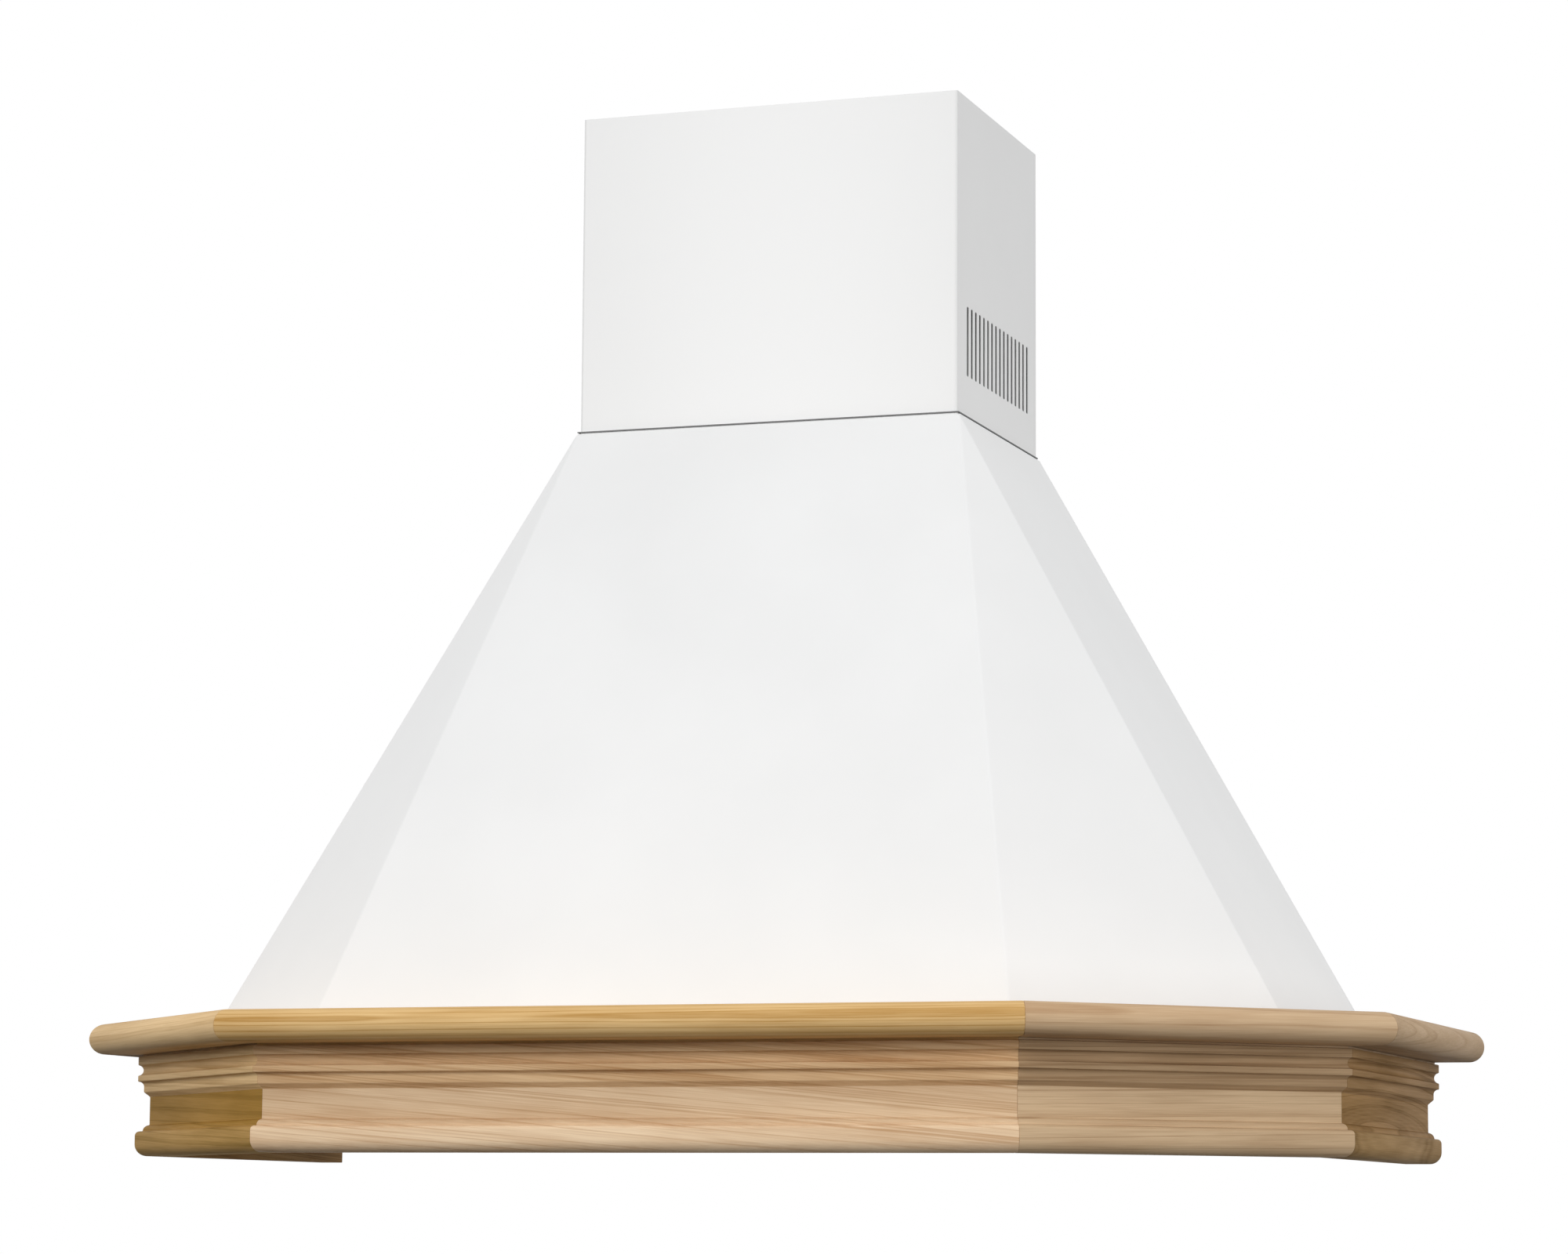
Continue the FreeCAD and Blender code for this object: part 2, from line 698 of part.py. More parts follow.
def lug_places(low, high):
    """Both lugs of a filter: name, lug's start, its pin's start and its ear's start."""
    near = f"({low} + {LUG_INSET})"
    far = f"({high} - {LUG_INSET} - {LUG_SHEET})"
    return (
        ("a", near, f"({near} + 3)", f"({near} + {LUG_SHEET} + {LUG_GAP})"),
        ("b", far, f"({far} - 4)", f"({far} - {LUG_GAP} - {EAR_SHEET})"),
    )


for side, low, high in FILTERS:
    for end, lug, pin, start in lug_places(low, high):
        ear = f"ear_{side}_{end}"
        rail_parts.append(
            block(
                ear + "_web",
                (start, f"{start} + {EAR_SHEET}"),
                (f"-hinge_back - {EAR}", "-hinge_back + 12"),
                around(HINGE_Z, EAR),
            )
        )
        rail_cuts.append(
            block(
                ear + "_eye",
                (start, f"{start} + {EAR_SHEET}"),
                around("-hinge_back", "hinge_pin_radius + 0.1"),
                around(HINGE_Z, "hinge_pin_radius + 0.1"),
            )
        )
        rail_cuts.append(
            block(
                ear + "_notch",
                (f"{lug} - {LUG_GAP}/2", f"{lug} + {LUG_SHEET} + {LUG_GAP}/2"),
                (f"{RAIL_FRONT} - 1", "-hinge_back + 6"),
                ("panel_level - 1", f"{PANEL_TOP} + 1"),
            )
        )
keep(cut("rear_rail", fuse("rail_blank", rail_parts), rail_cuts))

# Grease filters: a rim with hinge pins at the back and a sliding latch at the front,
# round a mesh pack cut as one holed sheet.
FILTER_TOP = "(panel_level + filter_thick)"
THROUGH_Z = ("panel_level - 1", f"{FILTER_TOP} + 1")
TONGUE_Z = around(HINGE_Z, "1.5")
TONGUE_ROOM = around(HINGE_Z, "1.5 + fit_gap")
WINDOW_Y = (f"{FILTER_FRONT} + 4", f"{FILTER_FRONT} + 4 + latch_window")
LATCH_Y = (f"{FILTER_FRONT} + 4.3", f"{FILTER_FRONT} + 4.3 + latch_length")


def filter_rim(side, low, high):
    name = f"filter_rim_{side}"
    middle = f"(({low} + {high})/2)"
    blank_y = (FILTER_FRONT, "-filter_rear")
    solids = [block(name + "_blank", (low, high), blank_y, ("panel_level", FILTER_TOP))]
    for end, lug, pin, start in lug_places(low, high):
        lug_y = ("-filter_rear - 1", "-hinge_back + hinge_pin_radius + 0.5")
        lug_z = around(HINGE_Z, "hinge_pin_radius + 0.5")
        solids.append(block(f"{name}_lug_{end}", (lug, f"{lug} + {LUG_SHEET}"), lug_y, lug_z))
        solids.append(
            rod(f"{name}_pin_{end}", "x", (pin, "-hinge_back", HINGE_Z), "hinge_pin_radius", "5")
        )
    opening = block(
        name + "_opening",
        (f"{low} + filter_rim", f"{high} - filter_rim"),
        (f"{FILTER_FRONT} + filter_front_rim", "-filter_rear - filter_rim"),
        THROUGH_Z,
    )
    window = block(name + "_window", around(middle, "latch_half"), WINDOW_Y, THROUGH_Z)
    groove = block(name + "_groove", around(middle, "latch_half + 3.4"), WINDOW_Y, TONGUE_ROOM)
    slot_y = (f"{FILTER_FRONT} - 1", f"{FILTER_FRONT} + 5")
    slot = block(name + "_slot", around(middle, "tongue_half + 0.4"), slot_y, TONGUE_ROOM)
    keep(cut(name, fuse(name + "_solid", solids), [opening, window, groove, slot]))


def filter_latch(side, low, high):
    name = f"filter_latch_{side}"
    middle = f"(({low} + {high})/2)"
    plate_z = ("panel_level + 1", f"{FILTER_TOP} - 1")
    tongue_y = (f"{FILTER_FRONT} - tongue_reach", f"{FILTER_FRONT} + 6")
    solids = [
        block(name + "_plate", around(middle, "latch_half - 0.4"), LATCH_Y, plate_z),
        block(name + "_wings", around(middle, "latch_half + 3"), LATCH_Y, TONGUE_Z),
        block(name + "_tongue", around(middle, "tongue_half"), tongue_y, TONGUE_Z),
    ]
    pull = block(
        name + "_pull",
        around(middle, "latch_half - 8"),
        (f"{LATCH_Y[0]} + 4", f"{LATCH_Y[1]} - 3"),
        ("panel_level", HINGE_Z),
    )
    keep(cut(name, fuse(name + "_solid", solids), [pull]))


def filter_mesh(side, low, high):
    x0, x1 = value(f"{low} + filter_rim") + 0.2, value(f"{high} - filter_rim") - 0.2
    y0 = value(f"{FILTER_FRONT} + filter_front_rim") + 0.2
    y1 = value("-filter_rear - filter_rim") - 0.2
    z = value(f"{HINGE_Z} - mesh_sheet/2")
    count = int(value("mesh_count"))
    pitch_x, pitch_y = (x1 - x0) / count, (y1 - y0) / count
    reach = min(value("mesh_hole"), 0.47 * pitch_x, 0.47 * pitch_y)
    holes = []
    for index in range(count * count):
        x = x0 + pitch_x * (index % count + 0.5)
        y = y0 + pitch_y * (index // count + 0.5)
        diamond = [V(x - reach, y, z), V(x, y - reach, z), V(x + reach, y, z), V(x, y + reach, z)]
        holes.append(face(diamond))
    net = face([V(x0, y0, z), V(x1, y0, z), V(x1, y1, z), V(x0, y1, z)]).cut(holes)
    shape_piece(f"filter_mesh_{side}", net.extrude(UP * value("mesh_sheet")))


for side, low, high in FILTERS:
    filter_rim(side, low, high)
    filter_mesh(side, low, high)
    filter_latch(side, low, high)

# Lamps: a frame under the panel, a frosted cover in it and an open tray above.
TRAY_TOP = f"({PANEL_TOP} + lamp_height)"
for side, sign in (("left", "-"), ("right", "")):
    middle = f"{sign}{LAMP_X}"
    hole_x, hole_y = around(middle, "lamp_long/2"), around(LAMP_Y, "lamp_wide/2")
    frame_z = ("panel_level - 1.2", "panel_level")
    frame = block(
        f"lamp_frame_blank_{side}",
        around(middle, "lamp_long/2 + lamp_border"),
        around(LAMP_Y, "lamp_wide/2 + lamp_border"),
        frame_z,
    )
    frame_hole = block(f"lamp_frame_hole_{side}", hole_x, hole_y, ("panel_level - 2", PANEL_TOP))
    keep(cut(f"lamp_frame_{side}", frame, [frame_hole]))
    keep(
        block(
            f"lamp_cover_{side}",
            around(middle, "lamp_long/2 - fit_gap"),
            around(LAMP_Y, "lamp_wide/2 - fit_gap"),
            ("panel_level - 1", f"{PANEL_TOP} + 1"),
        )
    )
    tray = block(
        f"lamp_tray_blank_{side}",
        around(middle, "lamp_long/2 + 5"),
        around(LAMP_Y, "lamp_wide/2 + 5"),
        (PANEL_TOP, TRAY_TOP),
    )
    tray_room = block(
        f"lamp_tray_room_{side}",
        around(middle, "lamp_long/2 + 4"),
        around(LAMP_Y, "lamp_wide/2 + 4"),
        ("panel_level", f"{TRAY_TOP} - 1"),
    )
    keep(cut(f"lamp_tray_{side}", tray, [tray_room]))

# Switches: a bezel under the panel, a box above it and a row of push buttons between.
BUTTON_Y = around(SWITCH_Y, "button_deep/2")
LOOSE_Y = around(SWITCH_Y, "button_deep/2 + button_gap")
bezel = block(
    "bezel_plate",
    around("0", "switch_half + 3"),
    around(SWITCH_Y, "button_deep/2 + 6"),
    ("panel_level - 1.5", "panel_level"),
)
box = block(
    "box_blank",
    around("0", "switch_half"),
    around(SWITCH_Y, "button_deep/2 + 4"),
    (PANEL_TOP, f"{PANEL_TOP} + switch_height"),
)
CAVITY_TOP = f"({PANEL_TOP} + switch_height*0.6)"
windows = []
cavities = []
for index, use in enumerate(("off", "low", "middle", "high", "light")):
    centre = f"button_pitch*{index - 2}"
    loose_x = around(centre, "button_wide/2 + button_gap")
    windows.append(block(f"window_{use}", loose_x, LOOSE_Y, ("panel_level - 2", PANEL_TOP)))
    cavities.append(block(f"cavity_{use}", loose_x, LOOSE_Y, ("panel_level", CAVITY_TOP)))
    cap_z = ("panel_level - 1.5 - button_reach", f"{CAVITY_TOP} - 4")
    keep(block(f"button_{use}", around(centre, "button_wide/2"), BUTTON_Y, cap_z))
keep(cut("switch_bezel", bezel, windows))
keep(cut("switch_box", box, cavities))


# Blower: a scroll housing in two halves whose wall steps outward a quarter turn at a
# time, a double inlet wheel on the motor's shaft, and a round outlet with two flaps.
def scroll_loop(grow, top):
    eye = "scroll_step/2"
    rear, low, front = (
        f"(fan_radius + scroll_gap + {steps}*scroll_step + {grow})" for steps in (2.5, 1.5, 0.5)
    )
    tip = f"(sqrt({front}^2 - ({grow})^2) - {eye})"
    return [
        (f"{eye} + {rear}", top),
        (f"{eye} + {rear}", eye, f"-{rear}"),
        (eye, f"{eye} - {rear}", f"-{low}"),
        (f"{eye} - {low}", f"-{eye}", f"-{front}"),
        (f"-{eye} - {grow}", tip),
        (f"-{eye} - {grow}", top),
    ]


FAN_SEAT = ("0", "-fan_back", "fan_up")
for side, left in (("left", True), ("right", False)):
    housing = body(f"blower_housing_{side}")
    outer = sketch(housing, f"scroll_{side}", "YZ_Plane", [scroll_loop("housing_wall", "outlet_up")])
    pad(housing, outer, "housing_half", back=left)
    inside = sketch(housing, f"scroll_room_{side}", "YZ_Plane", [scroll_loop("0", "outlet_up + 5")])
    doc.recompute()
    room = housing.newObject("PartDesign::Pocket", f"scroll_room_{side}_cut")
    room.Profile = inside
    bind(room, "Length", "housing_half - housing_wall")
    room.Reversed = not left
    eye = sketch(housing, f"inlet_{side}", "YZ_Plane", circles=[("0", "0", "inlet_radius")])
    doc.recompute()
    pocket_through(housing, eye)
    seat(housing, *FAN_SEAT)

# The wheel's disc and end rings have one flat for each blade.
wheel = body("fan_wheel")


def many_sided(kind, name, radius, start, length):
    slab = wheel.newObject(f"PartDesign::{kind}Prism", name)
    slab.AttachmentSupport = [(origin_plane(wheel, "YZ_Plane"), "")]
    slab.MapMode = "FlatFace"
    bind(slab, "AttachmentOffset.Base.z", start)
    bind(slab, "Polygon", "blade_count")
    bind(slab, "Circumradius", radius)
    bind(slab, "Height", length)
    doc.recompute()
    return slab


RIM_IN = "fan_radius - blade_depth"
RIM_SHEET = "2"
many_sided("Additive", "wheel_disc", "fan_radius", "-disc_thick/2", "disc_thick")
for side, start in (("left", "-blade_half"), ("right", f"blade_half - {RIM_SHEET}")):
    many_sided("Additive", f"wheel_rim_{side}", "fan_radius", start, RIM_SHEET)
    many_sided("Subtractive", f"wheel_eye_{side}", RIM_IN, start, RIM_SHEET)
hub = sketch(wheel, "wheel_hub", "YZ_Plane", circles=[("0", "0", "shaft_radius*2.5")])
pad(wheel, hub, "blade_half*0.45")
hub_bore = sketch(wheel, "wheel_bore", "YZ_Plane", circles=[("0", "0", "shaft_radius + 0.05")])
doc.recompute()
pocket_through(wheel, hub_bore)
blade = [
    (f"{RIM_IN} + 0.5", "-blade_sheet*4"),
    ("fan_radius - 0.5", "blade_sheet*2"),
    ("fan_radius - 0.5", "blade_sheet*3.2"),
    (f"{RIM_IN} + 0.5", "-blade_sheet*2.8"),
]
blade_drawing = sketch(wheel, "wheel_blade", "YZ_Plane", [blade])
blade_pad = pad(wheel, blade_drawing, "2*blade_half - 1", True)
doc.recompute()
blade_ring = wheel.newObject("PartDesign::PolarPattern", "blade_ring")
blade_ring.Originals = [blade_pad]
blade_ring.Axis = (blade_drawing, ["N_Axis"])
blade_ring.Angle = 360
bind(blade_ring, "Occurrences", "blade_count")
wheel.Tip = blade_ring
seat(wheel, *FAN_SEAT)

MOTOR_END = "(-housing_half)"
MOTOR_FACE = "(-housing_half + motor_length)"
SHAFT_START = f"({MOTOR_FACE} + fit_gap)"
keep(
    rod(
        "fan_shaft",
        "x",
        (SHAFT_START, "-fan_back", "fan_up"),
        "shaft_radius",
        f"blade_half*0.5 - {SHAFT_START}",
    )
)
motor_start = (MOTOR_END, "-fan_back", "fan_up")
keep(rod("motor", "x", motor_start, "motor_radius", "motor_length"))

# Motor spider on the left inlet: three arms that carry the motor's end and lie on the
# housing's side.
SPIDER_SHEET = "3"
ARM_WIDE = 14
spider_arms = []
for index in range(3):
    arm = doc.addObject("Part::Box", f"spider_arm_{index}")
    bind(arm, "Length", SPIDER_SHEET)
    bind(arm, "Width", str(ARM_WIDE))
    bind(arm, "Height", "inlet_radius + 12")
    turn = FreeCAD.Rotation(V(1, 0, 0), 120 * index)
    offset = turn.multVec(V(0, -ARM_WIDE / 2, 0))
    spot = (f"-fan_back + ({offset.y})", f"fan_up + ({offset.z})")
    spider_arms.append(seat(arm, f"{MOTOR_END} - {SPIDER_SHEET}", *spot, turn))
keep(fuse("motor_spider", spider_arms))

# Outlet spigot on the housing: a plate with a square mouth that the two flaps rest on,
# and a round tube.
OUTLET = "(fan_up + outlet_up)"
DUCT_IN = "(duct_radius - duct_wall)"
spigot = body("duct_spigot")
plate_loop = rectangle(around("0", "duct_radius + 3"), around("0", "duct_radius + 3"))
mouth = rectangle(around("0", "mouth_half"), around("0", "mouth_half"))
plate = sketch(spigot, "spigot_plate_plan", "XY_Plane", [plate_loop, mouth])
pad(spigot, plate, "spigot_plate")
tube_rings = [("0", "0", "duct_radius"), ("0", "0", DUCT_IN)]
pad(spigot, sketch(spigot, "spigot_tube", "XY_Plane", circles=tube_rings), "duct_height")
seat(spigot, "0", "-duct_back", OUTLET)

FLAP_Z = f"({OUTLET} + spigot_plate + fit_gap + flap_sheet/2)"
FLAP_FLAT = around(FLAP_Z, "flap_sheet/2")
PIN_HALF = "(mouth_half - fit_gap)"
pin_start = (f"-{PIN_HALF}", "-duct_back", FLAP_Z)
keep(rod("flap_pin", "x", pin_start, "flap_pin_radius", f"2*{PIN_HALF}"))
KNUCKLE = "(flap_pin_radius + 2)"
for side, way in (("front", -1), ("rear", 1)):
    name = f"flap_{side}"
    disc = rod(
        name + "_disc", "z", ("0", "-duct_back", FLAP_FLAT[0]), f"({DUCT_IN} - 1.5)", "flap_sheet"
    )
    lines = [f"-duct_back + {way}*({KNUCKLE} + 0.5)", f"-duct_back - {way}*duct_radius"]
    spare = block(
        name + "_spare",
        around("0", "duct_radius"),
        lines if way < 0 else lines[::-1],
        around(FLAP_Z, "flap_sheet"),
    )
    start = "-knuckle_length - 4" if way < 0 else "4"
    span = (start, f"{start} + knuckle_length")
    wrap = "flap_pin_radius + 1.1"
    knuckle = block(name + "_knuckle", span, around("-duct_back", wrap), around(FLAP_Z, wrap))
    near, far = f"-duct_back + {way}*2.2", f"-duct_back + {way}*({KNUCKLE} + 2)"
    reach = (far, near) if way < 0 else (near, far)
    tab = block(name + "_tab", span, reach, FLAP_FLAT)
    eye = "flap_pin_radius + 0.15"
    bore = block(name + "_eye", span, around("-duct_back", eye), around(FLAP_Z, eye))
    leaf = fuse(name + "_solid", [cut(name + "_half", disc, [spare]), knuckle, tab])
    keep(cut(name, leaf, [bore]))

# Blower bearers: an angle on each side from the back panel to the housing.
BEARER_Z = ("fan_up - bearer_height/2", "fan_up + bearer_height/2")
for side, sign in (("left", -1), ("right", 1)):
    name = f"blower_bearer_{side}"
    lines = [f"{sign}*(housing_half + {reach})" for reach in ("0", "bearer_sheet", "bearer_foot")]
    arm_x = (lines[0], lines[1]) if sign > 0 else (lines[1], lines[0])
    foot_x = (lines[0], lines[2]) if sign > 0 else (lines[2], lines[0])
    arm = block(name + "_arm", arm_x, ("-fan_back + inlet_radius + 8", "-back_sheet"), BEARER_Z)
    foot = block(name + "_foot", foot_x, ("-back_sheet - bearer_sheet", "-back_sheet"), BEARER_Z)
    keep(fuse(name, [arm, foot]))

# Electrical pieces on the back panel.
TERMINAL_Y = ("-back_sheet - 34", "-back_sheet")
terminal = block(
    "terminal_blank",
    ("terminal_side - 45", "terminal_side + 45"),
    TERMINAL_Y,
    ("terminal_up - 32", "terminal_up + 32"),
)
terminal_room = block(
    "terminal_room",
    ("terminal_side - 43", "terminal_side + 43"),
    (f"{TERMINAL_Y[0]} - 1", "-back_sheet - 2"),
    ("terminal_up - 30", "terminal_up + 30"),
)
GLAND_Y = "(-back_sheet - 17)"
gland_hole = rod(
    "gland_hole",
    "z",
    ("terminal_side", GLAND_Y, "terminal_up + 29"),
    "gland_radius*0.45",
    "4",
)
keep(cut("terminal_box", terminal, [terminal_room, gland_hole]))
keep(
    block(
        "terminal_cover",
        ("terminal_side - 45", "terminal_side + 45"),
        (f"{TERMINAL_Y[0]} - 2", TERMINAL_Y[0]),
        ("terminal_up - 32", "terminal_up + 32"),
    )
)
gland_nut = doc.addObject("Part::Prism", "gland_nut")
gland_nut.Polygon = 6
bind(gland_nut, "Circumradius", "gland_radius*1.5")
bind(gland_nut, "Height", "gland_radius*1.5")
seat(gland_nut, "terminal_side", GLAND_Y, "terminal_up + 32")
gland_bore = rod(
    "gland_bore",
    "z",
    ("terminal_side", GLAND_Y, "terminal_up + 32"),
    "gland_radius*0.45",
    "gland_radius*1.5",
)
keep(cut("cable_gland", gland_nut, [gland_bore]))
capacitor_block = block(
    "capacitor_block",
    around("-terminal_side", "20"),
    ("-back_sheet - 24", "-back_sheet"),
    around("terminal_up", "capacitor_height/2"),
)
capacitor_foot = block(
    "capacitor_foot",
    around("-terminal_side", "32"),
    ("-back_sheet - 2", "-back_sheet"),
    around("terminal_up", "capacitor_height/4"),
)
keep(fuse("capacitor", [capacitor_block, capacitor_foot]))


# Screws: hexagon heads on short shanks, each group one piece of like screws.
def prism(sides, radius, spot, way, length):
    turns = [2 * math.pi * index / sides for index in range(sides)]
    stick = face([V(radius * math.cos(t), radius * math.sin(t), 0) for t in turns]).extrude(UP * length)
    stick.Placement = FreeCAD.Placement(spot, FreeCAD.Rotation(UP, way))
    return stick


def screw(spot, way, bite):
    """One screw, its head's flat at the spot and its shank running along way."""
    head = value("screw_head")
    cap = prism(6, head, spot, way * -1, head * 0.6)
    return cap.fuse(prism(4, value("screw_shank"), spot, way, bite))


def canopy_screws():
    """Down through the canopy's flange into the shelf."""
    run = plan_points("canopy_inset + flange_width*0.6", value(f"{SHELF_TOP} + canopy_sheet"))
    spots = []
    for start, end, count in zip(run, run[1:], (2, 2, 2, 2, 2)):
        spots += [start + (end - start) * ((index + 0.5) / count) for index in range(count)]
    return [screw(spot, V(0, 0, -1), value("screw_bite")) for spot in spots]


def panel_screws():
    """Through the panels' upturned edges into the cornice."""
    level = value("panel_level + panel_upturn*0.6")
    front = value(f"{PANEL_FRONT} + panel_sheet")
    edge = value(f"{side_x(PANEL_INSET)} - panel_sheet")
    reach = value(corner_y(PANEL_INSET))
    bite = value("screw_bite")
    screws = []
    for share in (-0.6, 0.6):
        spot = V(share * value(corner_x(PANEL_INSET)), front, level)
        screws.append(screw(spot, V(0, -1, 0), bite))
    for sign in (-1, 1):
        for share in (0.2, 0.8):
            spot = V(sign * edge, share * reach, level)
            screws.append(screw(spot, V(sign, 0, 0), bite))
    return screws


def blower_screws():
    """Through the bearers into the housing's sides and into the back panel."""
    outside = value("housing_half + bearer_sheet")
    foot = value("housing_half + bearer_foot*0.6")
    face_y = value("-back_sheet - bearer_sheet")
    arm_y = value("-fan_back + inlet_radius + 18")
    screws = []
    for sign in (-1, 1):
        for share in (-0.35, 0.35):
            z = value(f"fan_up + {share}*bearer_height")
            side_bite = value("bearer_sheet + housing_wall*0.8")
            screws.append(screw(V(sign * outside, arm_y, z), V(-sign, 0, 0), side_bite))
            back_bite = value("bearer_sheet + back_sheet*0.9")
            screws.append(screw(V(sign * foot, face_y, z), V(0, 1, 0), back_bite))
    return screws


shape_piece("canopy_screws", Part.makeCompound(canopy_screws()))
shape_piece("panel_screws", Part.makeCompound(panel_screws()))
shape_piece("blower_screws", Part.makeCompound(blower_screws()))

doc.recompute()
faults = [o.Label for o in doc.Objects if {"Invalid", "Error"} & set(o.State)]
faults += [p.Label for p in PIECES if p.Shape.isNull() or not p.Shape.isValid()]
if faults:
    raise RuntimeError("pieces that did not build: " + ", ".join(faults))
os.makedirs("parts", exist_ok=True)
for piece in PIECES:
    piece.Shape.exportStep("parts/" + piece.Label + ".step")
print(len(PIECES), "pieces written")
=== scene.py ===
# %% [markdown]
# # A chimney hood with a raw wooden cornice
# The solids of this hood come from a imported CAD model. This lesson loads them as a fixed
# frame in metres (+Z up, +Y into the wall, +X to the right as seen from the room) and
# then makes the pieces that the eye meets first, one after another: the light, the wood,
# the white sheet metal and the pieces underneath.

# %% The frame
import json
import math

import bpy
from mathutils import Matrix, Vector


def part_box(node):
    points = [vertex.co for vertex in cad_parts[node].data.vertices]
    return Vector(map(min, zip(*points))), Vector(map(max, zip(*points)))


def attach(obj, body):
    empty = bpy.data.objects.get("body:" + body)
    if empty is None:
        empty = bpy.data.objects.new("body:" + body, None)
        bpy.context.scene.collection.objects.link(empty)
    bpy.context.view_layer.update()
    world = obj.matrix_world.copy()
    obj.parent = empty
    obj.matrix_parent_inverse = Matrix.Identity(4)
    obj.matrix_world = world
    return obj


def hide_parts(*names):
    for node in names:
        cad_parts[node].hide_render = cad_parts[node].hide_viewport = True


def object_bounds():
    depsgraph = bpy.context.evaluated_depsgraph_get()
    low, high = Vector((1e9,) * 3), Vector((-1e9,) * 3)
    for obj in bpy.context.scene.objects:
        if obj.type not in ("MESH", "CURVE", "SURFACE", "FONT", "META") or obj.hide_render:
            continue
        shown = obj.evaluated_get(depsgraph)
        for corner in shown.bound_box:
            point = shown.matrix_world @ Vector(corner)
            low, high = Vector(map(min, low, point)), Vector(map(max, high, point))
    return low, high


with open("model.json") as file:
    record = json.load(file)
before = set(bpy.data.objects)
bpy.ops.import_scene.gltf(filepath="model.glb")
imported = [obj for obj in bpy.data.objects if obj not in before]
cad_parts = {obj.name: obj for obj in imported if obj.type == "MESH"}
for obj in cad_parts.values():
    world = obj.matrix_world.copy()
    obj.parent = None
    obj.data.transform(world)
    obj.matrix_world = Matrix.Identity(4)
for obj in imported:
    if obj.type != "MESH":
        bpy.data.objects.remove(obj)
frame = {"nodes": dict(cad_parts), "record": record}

nodes = frame["nodes"]
cad_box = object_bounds()
MM = 0.001
print("CAD nodes:", len(nodes), "box:", cad_box)

# %% [markdown]
# ## Camera
# The picture was taken from a little below the hood and from its right, with a long lens.
# A camera at that place with the same field of view gives the same outline, so pieces
# can be compared with the picture edge by edge. The small roll is part of the fit.

# %% Camera
YAW_PITCH_ROLL = (19.135, 7.670, 0.364)
CAMERA_PLACE, LENS, SENSOR = (0.9919, -3.0135, -0.4446), 102.25, 36
yaw, pitch, roll = (math.radians(angle) for angle in YAW_PITCH_ROLL)
aim = Matrix.Rotation(yaw, 3, "Z") @ Matrix.Rotation(math.pi / 2 + pitch, 3, "X")
aim = aim @ Matrix.Rotation(roll, 3, "Z")
bpy.ops.object.camera_add(location=CAMERA_PLACE, rotation=aim.to_euler())
camera = bpy.context.object
camera.name = "picture_camera"
camera.data.lens = LENS
camera.data.sensor_width = SENSOR
bpy.context.scene.camera = camera
bpy.context.scene.view_settings.view_transform = "Standard"
print("camera", [round(c, 3) for c in camera.location], "lens", camera.data.lens)

# %% [markdown]
# ## Colours and nodes
# Paint charts and colour pickers give colours as hex values in sRGB, while shaders
# calculate with linear light, so one function turns the one into the other. A second
# small function adds a shader node with its settings and links, which keeps each
# material below short enough to read as a recipe. The size of a pattern is a real one
# in millimetres, which becomes its number of waves in a metre. A noise lies mostly between
# 0.3 and 0.7, so most ramps from tone to tone begin and end there.


# %% Colour and node helpers
def ink(hex_text):
    """An sRGB hex value as linear red, green, blue and alpha."""
    parts = [int(hex_text[i : i + 2], 16) / 255 for i in (1, 3, 5)]
    return [p / 12.92 if p <= 0.04045 else ((p + 0.055) / 1.055) ** 2.4 for p in parts] + [1]


def set_stops(ramp, stops):
    """Give a colour ramp its stops, each a place with a hex colour or a level of grey."""
    while len(ramp.elements) < len(stops):
        ramp.elements.new(0.5)
    for element, (place, tone) in zip(ramp.elements, stops):
        element.position = place
        element.color = ink(tone) if isinstance(tone, str) else (tone, tone, tone, 1)


def add(tree, kind, settings=None, *sources, **links):
    """A new shader node. Settings are properties, ramp stops or socket values. Sources feed
    its sockets in their order, and links feed them by name."""
    made = tree.nodes.new("ShaderNode" + kind)
    for key, value in (settings or {}).items():
        if key == "stops":
            set_stops(made.color_ramp, value)
        elif isinstance(key, str) and hasattr(made, key):
            setattr(made, key, value)
        else:
            made.inputs[key].default_value = value
    named = [(name.replace("_", " "), source) for name, source in links.items()]
    for socket, source in [*enumerate(sources), *named]:
        if source is not None:
            tree.links.new(source, made.inputs[socket])
    return made


print("white paint's hex in linear light:", [round(c, 3) for c in ink("#f4f4f2")])


# %% Material helpers
def new_material(name):
    """A material with its shader, and Object coordinates to draw patterns with."""
    material = bpy.data.materials.new(name)
    material.use_nodes = True
    tree = material.node_tree
    place = add(tree, "TexCoord").outputs["Object"]
    return material, tree, tree.nodes["Principled BSDF"], place


def per_metre(wave_mm):
    """How many waves of that many millimetres go into a metre."""
    return 1 / (wave_mm * MM)


def lay_finish(tree, shader, colour, rough=None, relief=None):
    """Feed a shader its colour, a pattern with its least and most roughness, and a pattern
    with the strength of its relief and the depth in millimetres."""
    tree.links.new(colour, shader.inputs["Base Color"])
    if rough:
        pattern, least, most = rough
        gloss = add(tree, "MapRange", {"To Min": least, "To Max": most}, Value=pattern)
        tree.links.new(gloss.outputs[0], shader.inputs["Roughness"])
    if relief:
        pattern, strength, depth = relief
        raised = {"Strength": strength, "Distance": depth * MM}
        bump = add(tree, "Bump", raised, Height=pattern)
        tree.links.new(bump.outputs[0], shader.inputs["Normal"])


print("a pattern of 2.5 mm has waves in a metre:", per_metre(2.5))

# %% [markdown]
# ## Light and floor
# The picture has soft light from the front on a white ground: the faces differ by small
# steps only, and the undersides are dark. A grey world lights all sides evenly, large area
# lamps in front and on the right give the steps, and a small weak one below shows the
# filters when the hood is seen from there. Light Path tells rays that show the ground from
# rays that only light the hood, so the ground is white to the eye without more light on
# the hood. The floor is pale paint, and seen from below it is clear, so that the underside
# can be looked at.


